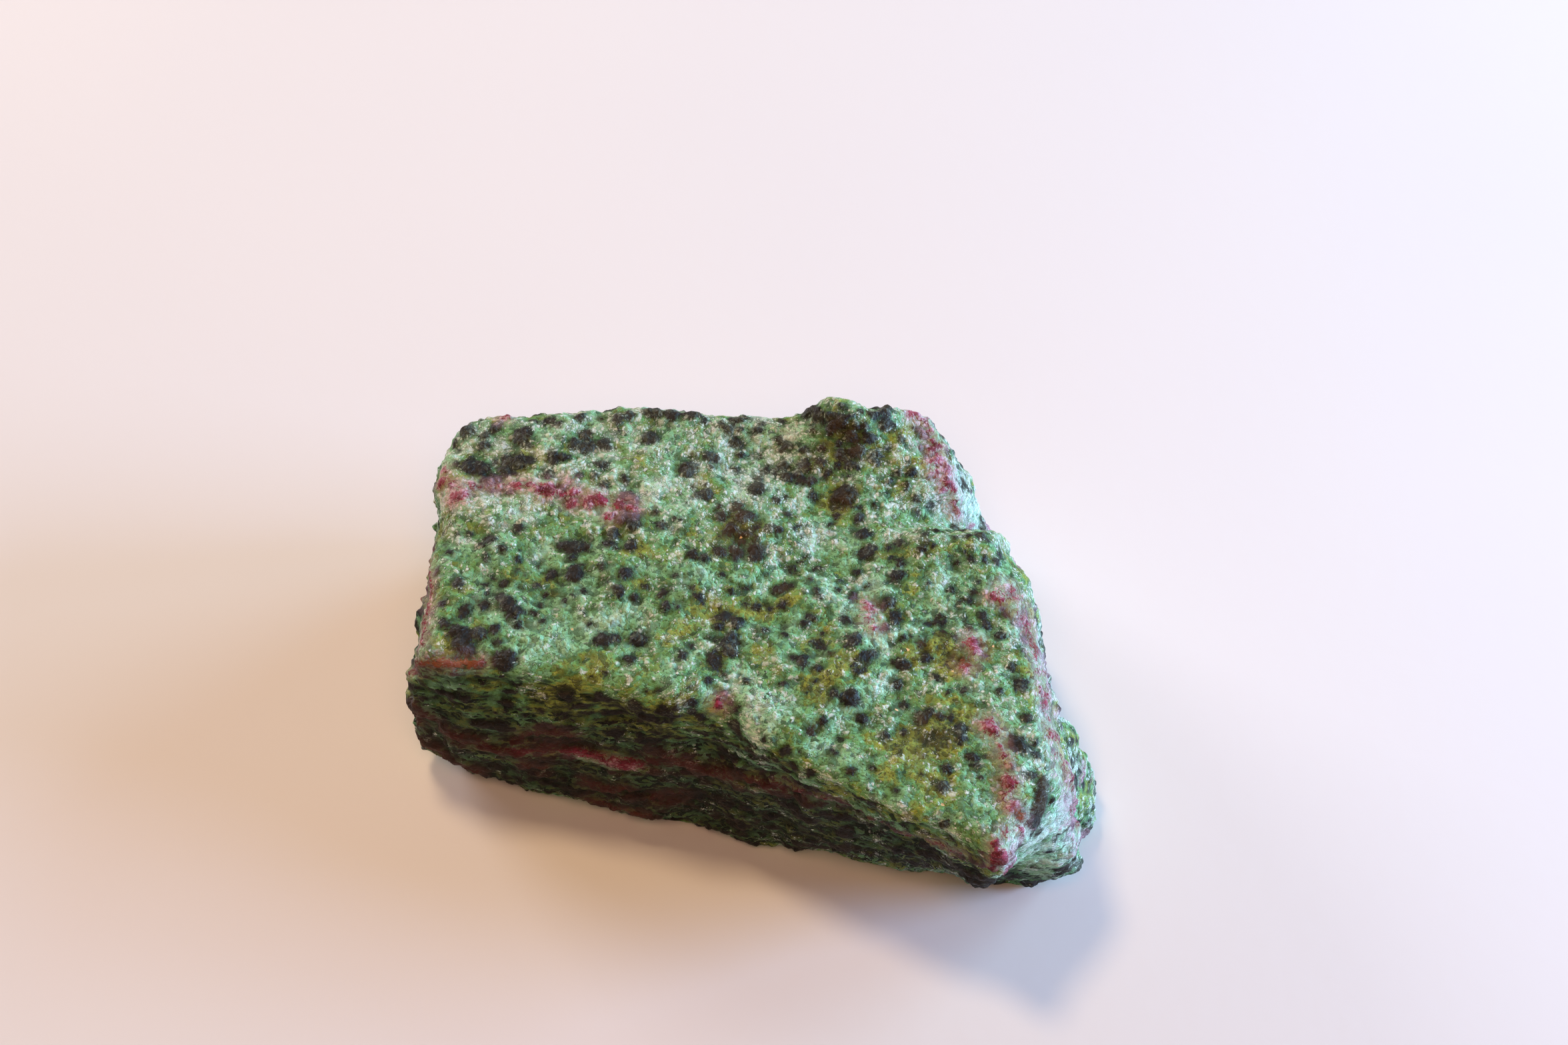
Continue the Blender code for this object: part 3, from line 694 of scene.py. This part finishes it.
    def _ruby(self, tree: Tree, where: dict, marks: dict, ground: Socket, frost: Socket) -> Socket:
        """Ruby grains, bruised pink where they are crushed, and dull and earthy on the sides, which is partly painted
        shade.

        Args:
            tree: The material's node tree.
            where: Shared coordinates and noises.
            marks: The mesh's attributes.
            ground: The colour round the grains.
            frost: How much frost there is from 0 to 1.

        Returns:
            The colour.
        """
        crumble = add_node(tree, "MapRange", (where["fine"], 0.25, 0.75, -0.42, 0.42)).outputs[0]
        edge = add_node(tree, "Math", (marks[Mark.RUBY], crumble), operation="ADD").outputs[0]
        share = add_node(tree, "MapRange", (edge, -0.14, 0.1)).outputs[0]
        body = add_node(
            tree,
            "Mix",
            {"Factor": where["roll_a"], "A": linear(self.wine), "B": linear(self.crimson)},
            data_type="RGBA",
        ).outputs["Result"]
        # ruby is dulled to earth and clay on the sides, which is partly painted shade, and where rusted
        dull = add_node(tree, "Math", (marks[Mark.SIDE], 0.85), operation="MULTIPLY", use_clamp=True).outputs[0]
        dull = add_node(tree, "Math", (dull, marks[Mark.RUST]), operation="MAXIMUM").outputs[0]
        bruise = add_node(
            tree, "Mix", {"Factor": dull, "A": linear(self.bruise), "B": linear(self.clay)}, data_type="RGBA"
        ).outputs["Result"]
        body = add_node(
            tree, "Mix", {"Factor": dull, "A": body, "B": linear(self.earth)}, data_type="RGBA"
        ).outputs["Result"]
        tan = add_node(tree, "Math", (marks[Mark.RUST], 0.9), operation="MULTIPLY", use_clamp=True).outputs[0]
        body = add_node(
            tree, "Mix", {"Factor": tan, "A": body, "B": linear(self.tan)}, data_type="RGBA"
        ).outputs["Result"]
        crushed = add_node(tree, "MapRange", (edge, 0.0, 0.5, 0.95, 0.4)).outputs[0]
        crushed = add_node(tree, "Math", (crushed, frost), operation="MULTIPLY").outputs[0]
        body = add_node(tree, "Mix", {"Factor": crushed, "A": body, "B": bruise}, data_type="RGBA").outputs["Result"]
        # pink powder lies in the frost beside every ruby
        powder = add_node(tree, "MapRange", (marks[Mark.RUBY], -1.2, -0.05, 0.0, 1.0)).outputs[0]
        veil = add_node(tree, "Math", (frost, 0.6, 0.35), operation="MULTIPLY_ADD").outputs[0]
        powder = add_node(tree, "Math", (powder, veil), operation="MULTIPLY").outputs[0]
        ground = add_node(tree, "Mix", {"Factor": powder, "A": ground, "B": bruise}, data_type="RGBA").outputs["Result"]
        made = add_node(tree, "Mix", {"Factor": share, "A": ground, "B": body}, data_type="RGBA")
        return made.outputs["Result"]

    def _skin(
        self, tree: Tree, where: dict, marks: dict, colour: Socket, dark_share: Socket, frost: Socket
    ) -> None:
        """Painted shade in the hollows, mica flakes with a painted glint, sheen and the fine relief, and the shader
        that takes them all.

        Args:
            tree: The material's node tree.
            where: Shared coordinates and noises.
            marks: The mesh's attributes.
            colour: The colour so far.
            dark_share: The hornblende's share from 0 to 1.
            frost: How much frost there is from 0 to 1.
        """
        # painted shade: the hollows are darkened towards deep green
        painted_shade = add_node(tree, "MapRange", (marks[Mark.HOLLOW], 0.0, 0.15, 0.0, self.hollow_shade_strength)).outputs[0]
        colour = add_node(
            tree, "Mix", {"Factor": painted_shade, "A": colour, "B": linear(self.deep)}, data_type="RGBA"
        ).outputs["Result"]
        # painted glint: the mica flakes' vertices take a warm cream colour, as the lamp's reflection, and a lower
        # roughness
        painted_glint = add_node(tree, "MapRange", (marks[Mark.GLINT], 0.4, 0.55)).outputs[0]
        colour = add_node(
            tree, "Mix", {"Factor": painted_glint, "A": colour, "B": linear(self.painted_glint)}, data_type="RGBA"
        ).outputs["Result"]
        sheen = add_node(tree, "MapRange", {"Value": where["roll_b"], "To Min": 0.42, "To Max": 0.75}).outputs[0]
        sheen = add_node(tree, "Math", (dark_share, -0.06, sheen), operation="MULTIPLY_ADD").outputs[0]
        sheen = add_node(tree, "Math", (frost, 0.1, sheen), operation="MULTIPLY_ADD").outputs[0]
        rough = add_node(tree, "Math", (painted_glint, -0.45, sheen), operation="MULTIPLY_ADD", use_clamp=True).outputs[0]
        # grit as fine as 0.16 mm, drawn as it shows: a soft dome for each sugary grain with grit and frost on it
        dome = add_node(tree, "MapRange", (where["cell"], 0.0, 0.7, 1.0, 0.0)).outputs[0]
        relief = add_node(tree, "Math", (where["fine"], 1.3, dome), operation="MULTIPLY_ADD").outputs[0]
        relief = add_node(tree, "Math", (frost, 0.35, relief), operation="MULTIPLY_ADD").outputs[0]
        bump = add_node(tree, "Bump", {"Strength": 0.8, "Distance": 0.00016, "Height": relief}).outputs[0]
        tilt = add_node(tree, "VectorMath", (where["cell_colour"], (0.5,) * 3), operation="SUBTRACT").outputs[0]
        facing = add_node(tree, "VectorMath", (tilt, (self.facet_tilt,) * 3, bump), operation="MULTIPLY_ADD").outputs[0]
        facing = add_node(tree, "VectorMath", (facing,), operation="NORMALIZE").outputs[0]
        shader = add_node(
            tree,
            "BsdfPrincipled",
            {
                "Base Color": colour,
                "Roughness": rough,
                "IOR": self.ior,
                "Specular IOR Level": self.gloss,
                "Normal": facing,
                "Subsurface Weight": self.glow,
                "Subsurface Radius": (0.6, 1.0, 0.7),
                "Subsurface Scale": self.glow_depth * MM,
            },
        )
        add_node(tree, "OutputMaterial", {"Surface": shader.outputs[0]})


@dataclass(frozen=True)
class PaperSheet:
    """Matt white paper, laid loose: to the eye an even, soft white with hardly any grain."""

    name: str = "matt_white_paper"
    white: str = "#f4f2f3"
    shade: str = "#ecebee"
    roughness: float = 0.9

    def make(self) -> bpy.types.Material:
        """Builds the material.

        Returns:
            The finished material.
        """
        material = bpy.data.materials.new(self.name)
        material.use_nodes = True
        tree = material.node_tree
        tree.nodes.clear()
        own = add_node(tree, "TexCoord").outputs["Object"]
        cloudy = add_node(tree, "TexNoise", {"Vector": own, "Scale": 12.0, "Detail": 2.0}).outputs["Fac"]
        colour = add_node(
            tree, "Mix", {"Factor": cloudy, "A": linear(self.white), "B": linear(self.shade)}, data_type="RGBA"
        ).outputs["Result"]
        # paper fibre is about 0.05 mm; it is drawn at 2 mm so that it shows at all
        fibre = add_node(tree, "TexNoise", {"Vector": own, "Scale": 500.0, "Detail": 2.0}).outputs["Fac"]
        bump = add_node(tree, "Bump", {"Strength": 0.05, "Distance": 0.0002, "Height": fibre}).outputs[0]
        shader = add_node(tree, "BsdfPrincipled", {"Base Color": colour, "Roughness": self.roughness, "Normal": bump})
        add_node(tree, "OutputMaterial", {"Surface": shader.outputs[0]})
        return material


# ---------------------------------------------------------------------------------------------------------
# The stone
# ---------------------------------------------------------------------------------------------------------


@dataclass
class Skin:
    """The stone's surface as arrays, in mm, and what is worked out on it."""

    points: np.ndarray
    normals: np.ndarray
    edges: np.ndarray
    eye: Vector
    tree: BVHTree
    bare: np.ndarray
    marks: dict[Mark, np.ndarray] = field(default_factory=dict)

    def sight(self, x: float, y: float) -> np.ndarray | None:
        """Where the sight line through a point of the level plane first meets the stone.

        Args:
            x: The point's x in mm.
            y: The point's y in mm.

        Returns:
            The place on the stone in mm, or None where the line passes by it.
        """
        aim = Vector((x, y, PLANE_Z)) - self.eye
        hit = self.tree.ray_cast(self.eye, aim.normalized())[0]
        return None if hit is None else np.array(hit)

    def spots(self, places: Iterable[tuple[float, float, float]], stretch: float = 1.2) -> np.ndarray:
        """How deep each point of the surface lies in the nearest of some single grains.

        Args:
            places: x, y and radius of each grain, as seen.
            stretch: How much flatter than wide the grains are.

        Returns:
            Depth in mm: below 0 outside.
        """
        loose = self.points + 0.3 * self.stir(1.5, 61) + 0.2 * self.stir(0.6, 64)
        depth = np.full(len(loose), OUTSIDE)
        for x, y, radius in places:
            middle = self.sight(x, y)
            if middle is None:
                log.info("a grain at %.1f, %.1f is off the stone", x, y)
                continue
            away = (loose - middle) * np.array([1.0, 1.0, stretch])
            depth = np.maximum(depth, radius - np.sqrt(np.einsum("ij,ij->i", away, away)))
        return depth

    def threads(self, runs: Iterable[tuple[float, tuple[tuple[float, float], ...]]]) -> np.ndarray:
        """How deep each point of the surface lies in the nearest of some threads.

        Args:
            runs: Half width and the points that each thread runs through, as seen.

        Returns:
            Depth in mm: below 0 outside.
        """
        loose = self.points + 0.3 * self.stir(1.1, 67)
        depth = np.full(len(loose), OUTSIDE)
        for half, path in runs:
            places = [p for p in (self.sight(x, y) for x, y in path) if p is not None]
            for start, end in zip(places, places[1:]):
                along = end - start
                share = np.clip((loose - start) @ along / (along @ along), 0.0, 1.0)
                away = loose - start - share[:, None] * along
                depth = np.maximum(depth, half - np.linalg.norm(away, axis=1))
        return depth

    def steep(self) -> np.ndarray:
        """1 where the surface stands as a side, 0 where it lies level."""
        return rise(1.0 - np.abs(self.normals[:, 2]), *STEEP)

    def stir(self, size: float, salt: int) -> np.ndarray:
        """Three noises as a shift for every point, each from about -1 to 1."""
        return np.stack([ripples(self.points, size, salt + i) for i in range(3)], axis=1)

    def near(self, x: float, y: float, radius: float) -> np.ndarray:
        """1 over the middle of a place that is seen at x and y, falling smoothly to 0 at the radius."""
        middle = self.sight(x, y)
        if middle is None:
            return np.zeros(len(self.points))
        away = np.linalg.norm((self.points - middle) * np.array([1.0, 1.0, 0.7]), axis=1)
        return (1.0 - np.clip(away / radius, 0.0, 1.0) ** 2) ** 2

    def smoothed(self, values: np.ndarray, rounds: int) -> np.ndarray:
        """Evens out numbers between neighbouring vertices.

        Args:
            values: One row or number for each vertex.
            rounds: How often each takes the mean of its neighbours.

        Returns:
            The evened numbers.
        """
        count = np.bincount(self.edges.ravel(), minlength=len(self.points)).astype(float)
        rows = values.reshape(len(self.points), -1)
        for _ in range(rounds):
            total = np.stack(
                [
                    np.bincount(self.edges[:, 0], rows[self.edges[:, 1], i], len(count))
                    + np.bincount(self.edges[:, 1], rows[self.edges[:, 0], i], len(count))
                    for i in range(rows.shape[1])
                ],
                axis=1,
            )
            rows = total / np.maximum(count, 1.0)[:, None]
        return rows.reshape(values.shape)


@dataclass
class Block:
    """The stone: one rough block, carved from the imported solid."""

    finish: ZoisiteRock
    eye: Vector
    name: str = "rough_zoisite_block"
    voxel: float = 0.2
    easing: int = 36
    triangles: int = 194000
    # widths in mm of the hornblende grains where none is read
    large_grain: float = 2.3
    middling_grain: float = 1.6
    small_grain: float = 0.95
    # relief in mm
    lump: float = 0.22
    pebble: float = 0.16
    sugar_size: float = 0.85
    sugar: float = 0.18
    leaf: float = 0.17
    plate: float = 0.36
    chips: tuple[tuple[float, float, int], ...] = ((9.0, 1.1, 121), (4.5, 0.7, 131))
    chip_edge: float = 0.27
    knob: float = 0.16
    moat: float = 0.07
    hill_knob: float = 0.2
    crust: float = -0.15
    ruby_rise: float = 0.2
    seam_rise: float = 0.28
    shrink: float = 0.17
    worn_crest: float = 0.65
    crest_reach: float = 3.0
    # the layers wave gently: height in mm over x and y
    fold_tilt: float = 0.05
    fold_x: tuple[float, float, float] = (1.1, 9.95, 10.0)
    fold_y: tuple[float, float, float] = (0.5, -6.33, 6.0)

    def build(self) -> bpy.types.Object:
        """Models the stone.

        Returns:
            The finished piece.
        """
        stone = self._rough_copy()
        skin = self._skin_of(stone)
        self._read_minerals(skin)
        self._carve(stone, skin)
        self._write_marks(stone, skin)
        self._thin(stone)
        stone.data.materials.clear()
        stone.data.materials.append(self.finish.make())
        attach(stone, "root")
        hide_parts(NODE)
        return stone

    def _rough_copy(self) -> bpy.types.Object:
        """An even, finely meshed copy of the solid, with its facets worn off.

        Returns:
            The copy, with its place in its mesh.
        """
        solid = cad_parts[NODE]
        stone = bpy.data.objects.new(self.name, solid.data.copy())
        bpy.context.scene.collection.objects.link(stone)
        pick(stone)
        bpy.ops.object.mode_set(mode="EDIT")
        bpy.ops.mesh.select_all(action="SELECT")
        bpy.ops.mesh.remove_doubles(threshold=1e-6)
        bpy.ops.mesh.normals_make_consistent(inside=False)
        bpy.ops.object.mode_set(mode="OBJECT")
        skin = stone.modifiers.new("even_skin", "REMESH")
        skin.mode = "VOXEL"
        skin.voxel_size = self.voxel * MM
        worn = stone.modifiers.new("worn_facets", "SMOOTH")
        worn.factor = 0.5
        worn.iterations = self.easing
        for modifier in ("even_skin", "worn_facets"):
            bpy.ops.object.modifier_apply(modifier=modifier)
        return stone

    def _skin_of(self, stone: bpy.types.Object) -> Skin:
        """The stone's surface as arrays.

        Args:
            stone: The piece so far.

        Returns:
            Points in mm, normals, edges, and a tree for sight lines.
        """
        mesh = stone.data
        points = np.zeros(len(mesh.vertices) * 3)
        normals = np.zeros(len(mesh.vertices) * 3)
        edges = np.zeros(len(mesh.edges) * 2, np.int64)
        mesh.vertices.foreach_get("co", points)
        mesh.vertex_normals.foreach_get("vector", normals)
        mesh.edges.foreach_get("vertices", edges)
        points = points.reshape(-1, 3) / MM
        tree = BVHTree.FromPolygons([Vector(p) for p in points], [tuple(f.vertices) for f in mesh.polygons])
        bare = np.zeros(len(points))
        return Skin(points, normals.reshape(-1, 3), edges.reshape(-1, 2), self.eye, tree, bare)

    def fold(self, points: np.ndarray) -> np.ndarray:
        """How far the layers rise or sink at each point, in mm."""
        rise_x, start_x, length_x = self.fold_x
        rise_y, start_y, length_y = self.fold_y
        along_x = self.fold_tilt * points[:, 0] + rise_x * np.sin((points[:, 0] + start_x) / length_x)
        return along_x + rise_y * np.sin((points[:, 1] + start_y) / length_y)

    def _read_minerals(self, skin: Skin) -> None:
        """Works out which mineral is where.

        Args:
            skin: The surface, which gets its marks.
        """
        points, normals = skin.points, skin.normals
        level = points[:, 2] - self.fold(points)
        layered = np.stack([points[:, 0], points[:, 1], level * self.finish.lying_flat], axis=1)
        loose = layered + 0.35 * skin.stir(1.3, 71)
        seen = rise(normals[:, 2], 0.25, 0.6) * rise(points[:, 2], 7.0, 11.0)
        side = skin.steep()
        crowding = ripples(layered, 7.0, 11)
        front = rise(-normals[:, 1], 0.1, 0.6)
        crowd = np.clip(0.34 + 0.5 * crowding + (0.2 + 0.15 * front) * side, 0.05, 0.9)
        bare = np.max([skin.near(*place) for place in BARE], axis=0)
        crowd = crowd * (1.0 - bare) * (1.0 - 0.55 * rise(points[:, 2], 11.0, 14.0))
        large = lenses(loose, self.large_grain, crowd * (1.0 - seen), 21)
        scatter = np.clip(0.16 + 0.3 * crowding + 0.25 * side, 0.0, 1.0) * (1.0 - bare)
        small = lenses(loose, self.small_grain, scatter, 31)
        middling = lenses(loose, self.middling_grain, np.clip(crowding * 0.9 + 0.1, 0.0, 0.6) * (1.0 - seen), 36)
        small = np.maximum(small, middling)
        single = skin.spots(HORNBLENDE)
        skin.marks[Mark.HORNBLENDE] = np.maximum(np.maximum(large, small), single)
        skin.bare = bare

        ruby = np.maximum(skin.spots(RUBY), skin.threads(RUBY_THREADS))
        crushed = self.crust + 0.5 * ripples(points, 1.0, 58) + 0.2 * ripples(points, 0.5, 59)
        ruby = np.maximum(ruby, np.minimum(skin.threads(RUBY_CRUST), crushed))
        turned = side * (1.0 - seen) * rise(normals[:, 1], -0.75, -0.45)
        for i, (height, half, share) in enumerate(LEVEL_SEAMS):
            wander = 1.5 * ripples(points, 13.0, 81 + i) + 0.6 * ripples(points, 4.0, 84 + i)
            wander += 0.25 * ripples(points, 1.5, 86 + i)
            shown = ripples(points * np.array([1.0, 1.0, 0.5]), 6.5, 91 + i)
            shown = shown + 0.4 * ripples(points, 2.4, 94 + i) + share - 0.5
            shown += 0.2 * rise(-normals[:, 0], 0.4, 0.8)
            thick = half * rise(shown, -0.2, 0.5) + 0.3 * ripples(points, 2.1, 95 + i)
            thick += 0.12 * ripples(points, 0.9, 96 + i)
            thick = np.where(shown > -0.2, thick, OUTSIDE)
            seam = thick - np.abs(level - height - wander)
            ruby = np.maximum(ruby, np.where(turned > 0.2, seam, OUTSIDE))
        # on the sides the black grains break the seams up; on the top the ruby lies over them
        dark = skin.marks[Mark.HORNBLENDE]
        skin.marks[Mark.RUBY] = np.where(seen < 0.5, np.minimum(ruby, 0.1 - dark), ruby)
        skin.marks[Mark.HORNBLENDE] = np.where(seen < 0.5, dark, np.minimum(dark, -ruby - 0.1))

        # steep faces lean towards olive: partly their own colour, partly painted shade
        tone = 0.35 * ripples(layered, 8.0, 41) + 0.4 * ripples(layered, 2.6, 42) - 0.3 * side * (1.0 - bare)
        for x, y, radius, lean in ZONES:
            tone = tone + 1.25 * lean * skin.near(x, y, radius * 1.35)
        skin.marks[Mark.TONE] = np.clip(tone, -1.2, 1.2)

        rust = np.clip(0.8 * ripples(layered, 4.0, 51) - 0.25, 0.0, 0.6)
        for x, y, radius in RUSTY:
            rust = np.maximum(rust, skin.near(x, y, radius * 1.5))
        skin.marks[Mark.RUST] = rust
        # the front is rich in hornblende and its sides are darkened, low down most: partly stain, partly painted shade;
        # the sides turned to the right are darkened less and frosted white
        right = rise(normals[:, 0], 0.3, 0.75)
        low = rise(-points[:, 2], -14.5, -9.0)
        skin.marks[Mark.SIDE] = side * (0.55 + 1.1 * front * low) * (1.0 - 0.7 * right) * (1.0 - bare)
        frost = 0.27 + 0.34 * ripples(points, 2.0, 55) + 0.4 * ripples(points, 0.8, 56) + 0.1 * ripples(points, 6.0, 57)
        frost += 0.2 * rise(points[:, 1], 4.0, 14.0) - 0.08 * rise(points[:, 2], 17.6, 19.3)
        frost += 0.08 * np.clip(tone, -1.2, 1.2) - 0.12 * side + 0.4 * right * side
        frost -= 0.12 * rise(-points[:, 0], 8.0, 16.0) * (1.0 - rise(points[:, 1], 4.0, 14.0))
        skin.marks[Mark.FROST] = frost
        # the mica flakes for the painted glint: one vertex each
        glint = np.zeros(len(points))
        for x, y in GLINTS:
            middle = skin.sight(x, y)
            if middle is not None:
                glint[np.argmin(np.linalg.norm(points - middle, axis=1))] = 1.0
        skin.marks[Mark.GLINT] = glint

    def _carve(self, stone: bpy.types.Object, skin: Skin) -> None:
        """Moves the surface in and out: lumps, level leaves on the sides, sugary grains, knobs and seams.

        Args:
            stone: The piece so far.
            skin: Its surface, with its marks.
        """
        points, normals, marks = skin.points, skin.normals, skin.marks
        side = skin.steep() * (1.0 - 0.8 * skin.bare)
        level = points[:, 2] - self.fold(points)
        layered = np.stack([points[:, 0], points[:, 1], level], axis=1)
        out = self.lump * ripples(points, 3.6, 101) + self.pebble * ripples(points, 1.5, 102)
        # the layers split level, so a side is a pile of thin, broken leaves
        thin = ripples(layered * np.array([0.3, 0.3, 1.0]), 0.95, 103)
        out += side * self.leaf * np.tanh(2.2 * thin)
        plates = layered * np.array([0.55, 0.55, 2.0]) + 0.25 * skin.stir(1.8, 111)
        broken = grains(plates, 1.0, 113)[2]
        out += side * self.plate * (broken[:, 0] - 0.5)
        # chips as large as a finger nail came off the sides that turn away from the camera
        turned = np.maximum(rise(normals[:, 1], -0.1, 0.4), rise(-normals[:, 0], 0.5, 0.9))
        hidden = side * rise(-points[:, 2], -16.5, -13.0) * turned
        for size, depth, salt in self.chips:
            scale = np.array([1.0, 1.0, 1.7]) / size
            near, next_near, rolls = grains(layered * scale + 0.25 * skin.stir(size * 0.7, salt), 1.0, salt + 5)
            out -= hidden * depth * rolls[:, 0] * rise(next_near - near, 0.0, self.chip_edge)
        near, next_near, rolls = grains(points + 0.15 * skin.stir(1.2, 105), self.sugar_size, 107)
        out += self.sugar * (rise(next_near - near, 0.0, 0.45) - 0.5) * (0.6 + 0.8 * rolls[:, 0])
        knob = rise(marks[Mark.HORNBLENDE], -0.15, 0.5)
        hill = rise(points[:, 2], 18.0, 19.3)
        out += knob * (self.knob + self.hill_knob * hill) - self.moat * rise(
            marks[Mark.HORNBLENDE], -0.5, -0.1
        ) * (1.0 - knob)
        ruby = rise(marks[Mark.RUBY], -0.2, 0.35)
        out += ruby * (self.ruby_rise + (self.seam_rise - self.ruby_rise) * side)
        out -= self.shrink + self.worn_crest * rise(skin.threads(((0.0, CREST),)), -self.crest_reach, 0.0)
        for x, y, z, reach, push in NUDGES:
            away = np.linalg.norm(points - np.array([x, y, z]), axis=1) / reach
            out += push * (1.0 - np.clip(away, 0.0, 1.0) ** 2) ** 2
        under = rise(-normals[:, 2], 0.5, 0.85) * rise(-points[:, 2], -1.5, -0.3)
        out = out * (1.0 - under) - under * 0.5 * np.abs(out)
        moved = points + normals * out[:, None]
        moved = 0.6 * moved + 0.4 * skin.smoothed(moved, 1)
        lowest, highest = np.array(CAD_BOX[0]) / MM, np.array(CAD_BOX[1]) / MM
        moved = np.clip(moved, lowest, highest)
        even = skin.smoothed(moved, 10)
        marks[Mark.HOLLOW] = np.einsum("ij,ij->i", even - moved, normals)
        marks[Mark.LEVEL] = level
        marks[Mark.FROST] = marks[Mark.FROST] - 0.8 * np.clip(marks[Mark.HOLLOW], -0.2, 0.2)
        stone.data.vertices.foreach_set("co", (moved * MM).ravel())
        stone.data.update()

    def _write_marks(self, stone: bpy.types.Object, skin: Skin) -> None:
        """Writes the marks on the mesh as attributes, for the material to read."""
        for mark, values in skin.marks.items():
            made = stone.data.attributes.new(mark.value, "FLOAT", "POINT")
            made.data.foreach_set("value", values.astype(np.float32))

    def _thin(self, stone: bpy.types.Object) -> None:
        """Drops the vertices that the relief can do without, and shades the rest smooth."""
        pick(stone)
        stone.data.calc_loop_triangles()
        fewer = stone.modifiers.new("fewer_faces", "DECIMATE")
        fewer.ratio = min(1.0, self.triangles / len(stone.data.loop_triangles))
        fewer.use_collapse_triangulate = True
        bpy.ops.object.modifier_apply(modifier=fewer.name)
        bpy.ops.object.shade_smooth()


# ---------------------------------------------------------------------------------------------------------
# Setting
# ---------------------------------------------------------------------------------------------------------


@dataclass
class ViewCamera:
    """The camera: a short telephoto, held above and in front of the stone and pointed down at it."""

    place: tuple[float, float, float] = (0.002874, -0.192784, 0.278594)
    pitch: float = 37.9
    lens: float = 85.0
    sensor: float = 36.0

    def build(self) -> bpy.types.Object:
        """Places the camera.

        Returns:
            The camera.
        """
        deselect_all()
        bpy.ops.object.camera_add(location=self.place, rotation=(np.radians(self.pitch), 0.0, 0.0))
        camera = bpy.context.object
        camera.data.lens = self.lens
        camera.data.sensor_width = self.sensor
        camera.data.clip_start = 0.01
        bpy.context.scene.camera = camera
        return camera


@dataclass
class PaperFloor:
    """A pale floor that reaches far past the view."""

    finish: PaperSheet
    reach: float = 3.0

    def build(self) -> bpy.types.Object:
        """Lays the floor.

        Returns:
            The floor.
        """
        deselect_all()
        bpy.ops.mesh.primitive_circle_add(vertices=96, radius=self.reach, fill_type="NGON")
        floor = bpy.context.object
        floor.name = "paper_floor"
        floor.data.materials.append(self.finish.make())
        return floor


@dataclass
class SoftLamp:
    """A lamp behind a soft round screen, aimed at the middle of the floor.

    It hangs at a bearing, clockwise from the back, and a height above the floor, both in degrees.
    """

    name: str
    bearing: float
    height: float
    away: float
    size: float
    colour: str
    power: float

    def build(self) -> bpy.types.Object:
        """Hangs the lamp.

        Returns:
            The lamp.
        """
        turn, lift = np.radians(self.bearing), np.radians(self.height)
        place = self.away * Vector((np.sin(turn) * np.cos(lift), np.cos(turn) * np.cos(lift), np.sin(lift)))
        deselect_all()
        bpy.ops.object.light_add(type="AREA", location=place)
        lamp = bpy.context.object
        lamp.name = self.name
        lamp.data.shape = "DISK"
        lamp.data.size = self.size
        lamp.data.color = linear(self.colour)[:3]
        lamp.data.energy = self.power
        lamp.rotation_euler = (-place).to_track_quat("-Z", "Y").to_euler()
        return lamp


@dataclass
class RoomLight:
    """Even light from a pale room."""

    colour: str = "#e9edf6"
    strength: float = 0.05

    def build(self) -> None:
        """Sets the world's light and the plain view of it."""
        world = bpy.data.worlds.new("pale_room")
        world.use_nodes = True
        ground = world.node_tree.nodes["Background"]
        ground.inputs["Color"].default_value = linear(self.colour)
        ground.inputs["Strength"].default_value = self.strength
        bpy.context.scene.world = world
        bpy.context.scene.view_settings.view_transform = "Standard"


def main() -> None:
    """Builds the setting and the stone, and reports each piece."""
    logging.basicConfig(level=logging.INFO, format="%(name)s: %(message)s")
    camera = ViewCamera()
    camera.build()
    PaperFloor(PaperSheet()).build()
    RoomLight().build()
    lamps = (
        SoftLamp("right_window", 90.0, 14.0, 0.5, 0.2, "#accfff", 3.8),
        SoftLamp("far_window", 60.0, 14.0, 0.6, 0.3, "#b4e2ff", 2.7),
        SoftLamp("warm_lamp", 320.0, 66.0, 0.9, 0.2, "#ffd9a8", 3.1),
        SoftLamp("warm_bounce", 180.0, 60.0, 0.75, 0.4, "#ffc59b", 1.8),
        SoftLamp("left_fill", 315.0, 14.0, 0.5, 0.2, "#fcf8ff", 1.35),
    )
    for lamp in lamps:
        lamp.build()
        log.info("%s hung", lamp.name)
    stone = Block(ZoisiteRock(), Vector(camera.place) / MM).build()
    log.info("%s: %d triangles", stone.name, len(stone.data.polygons))


if __name__ == "__main__":
    main()
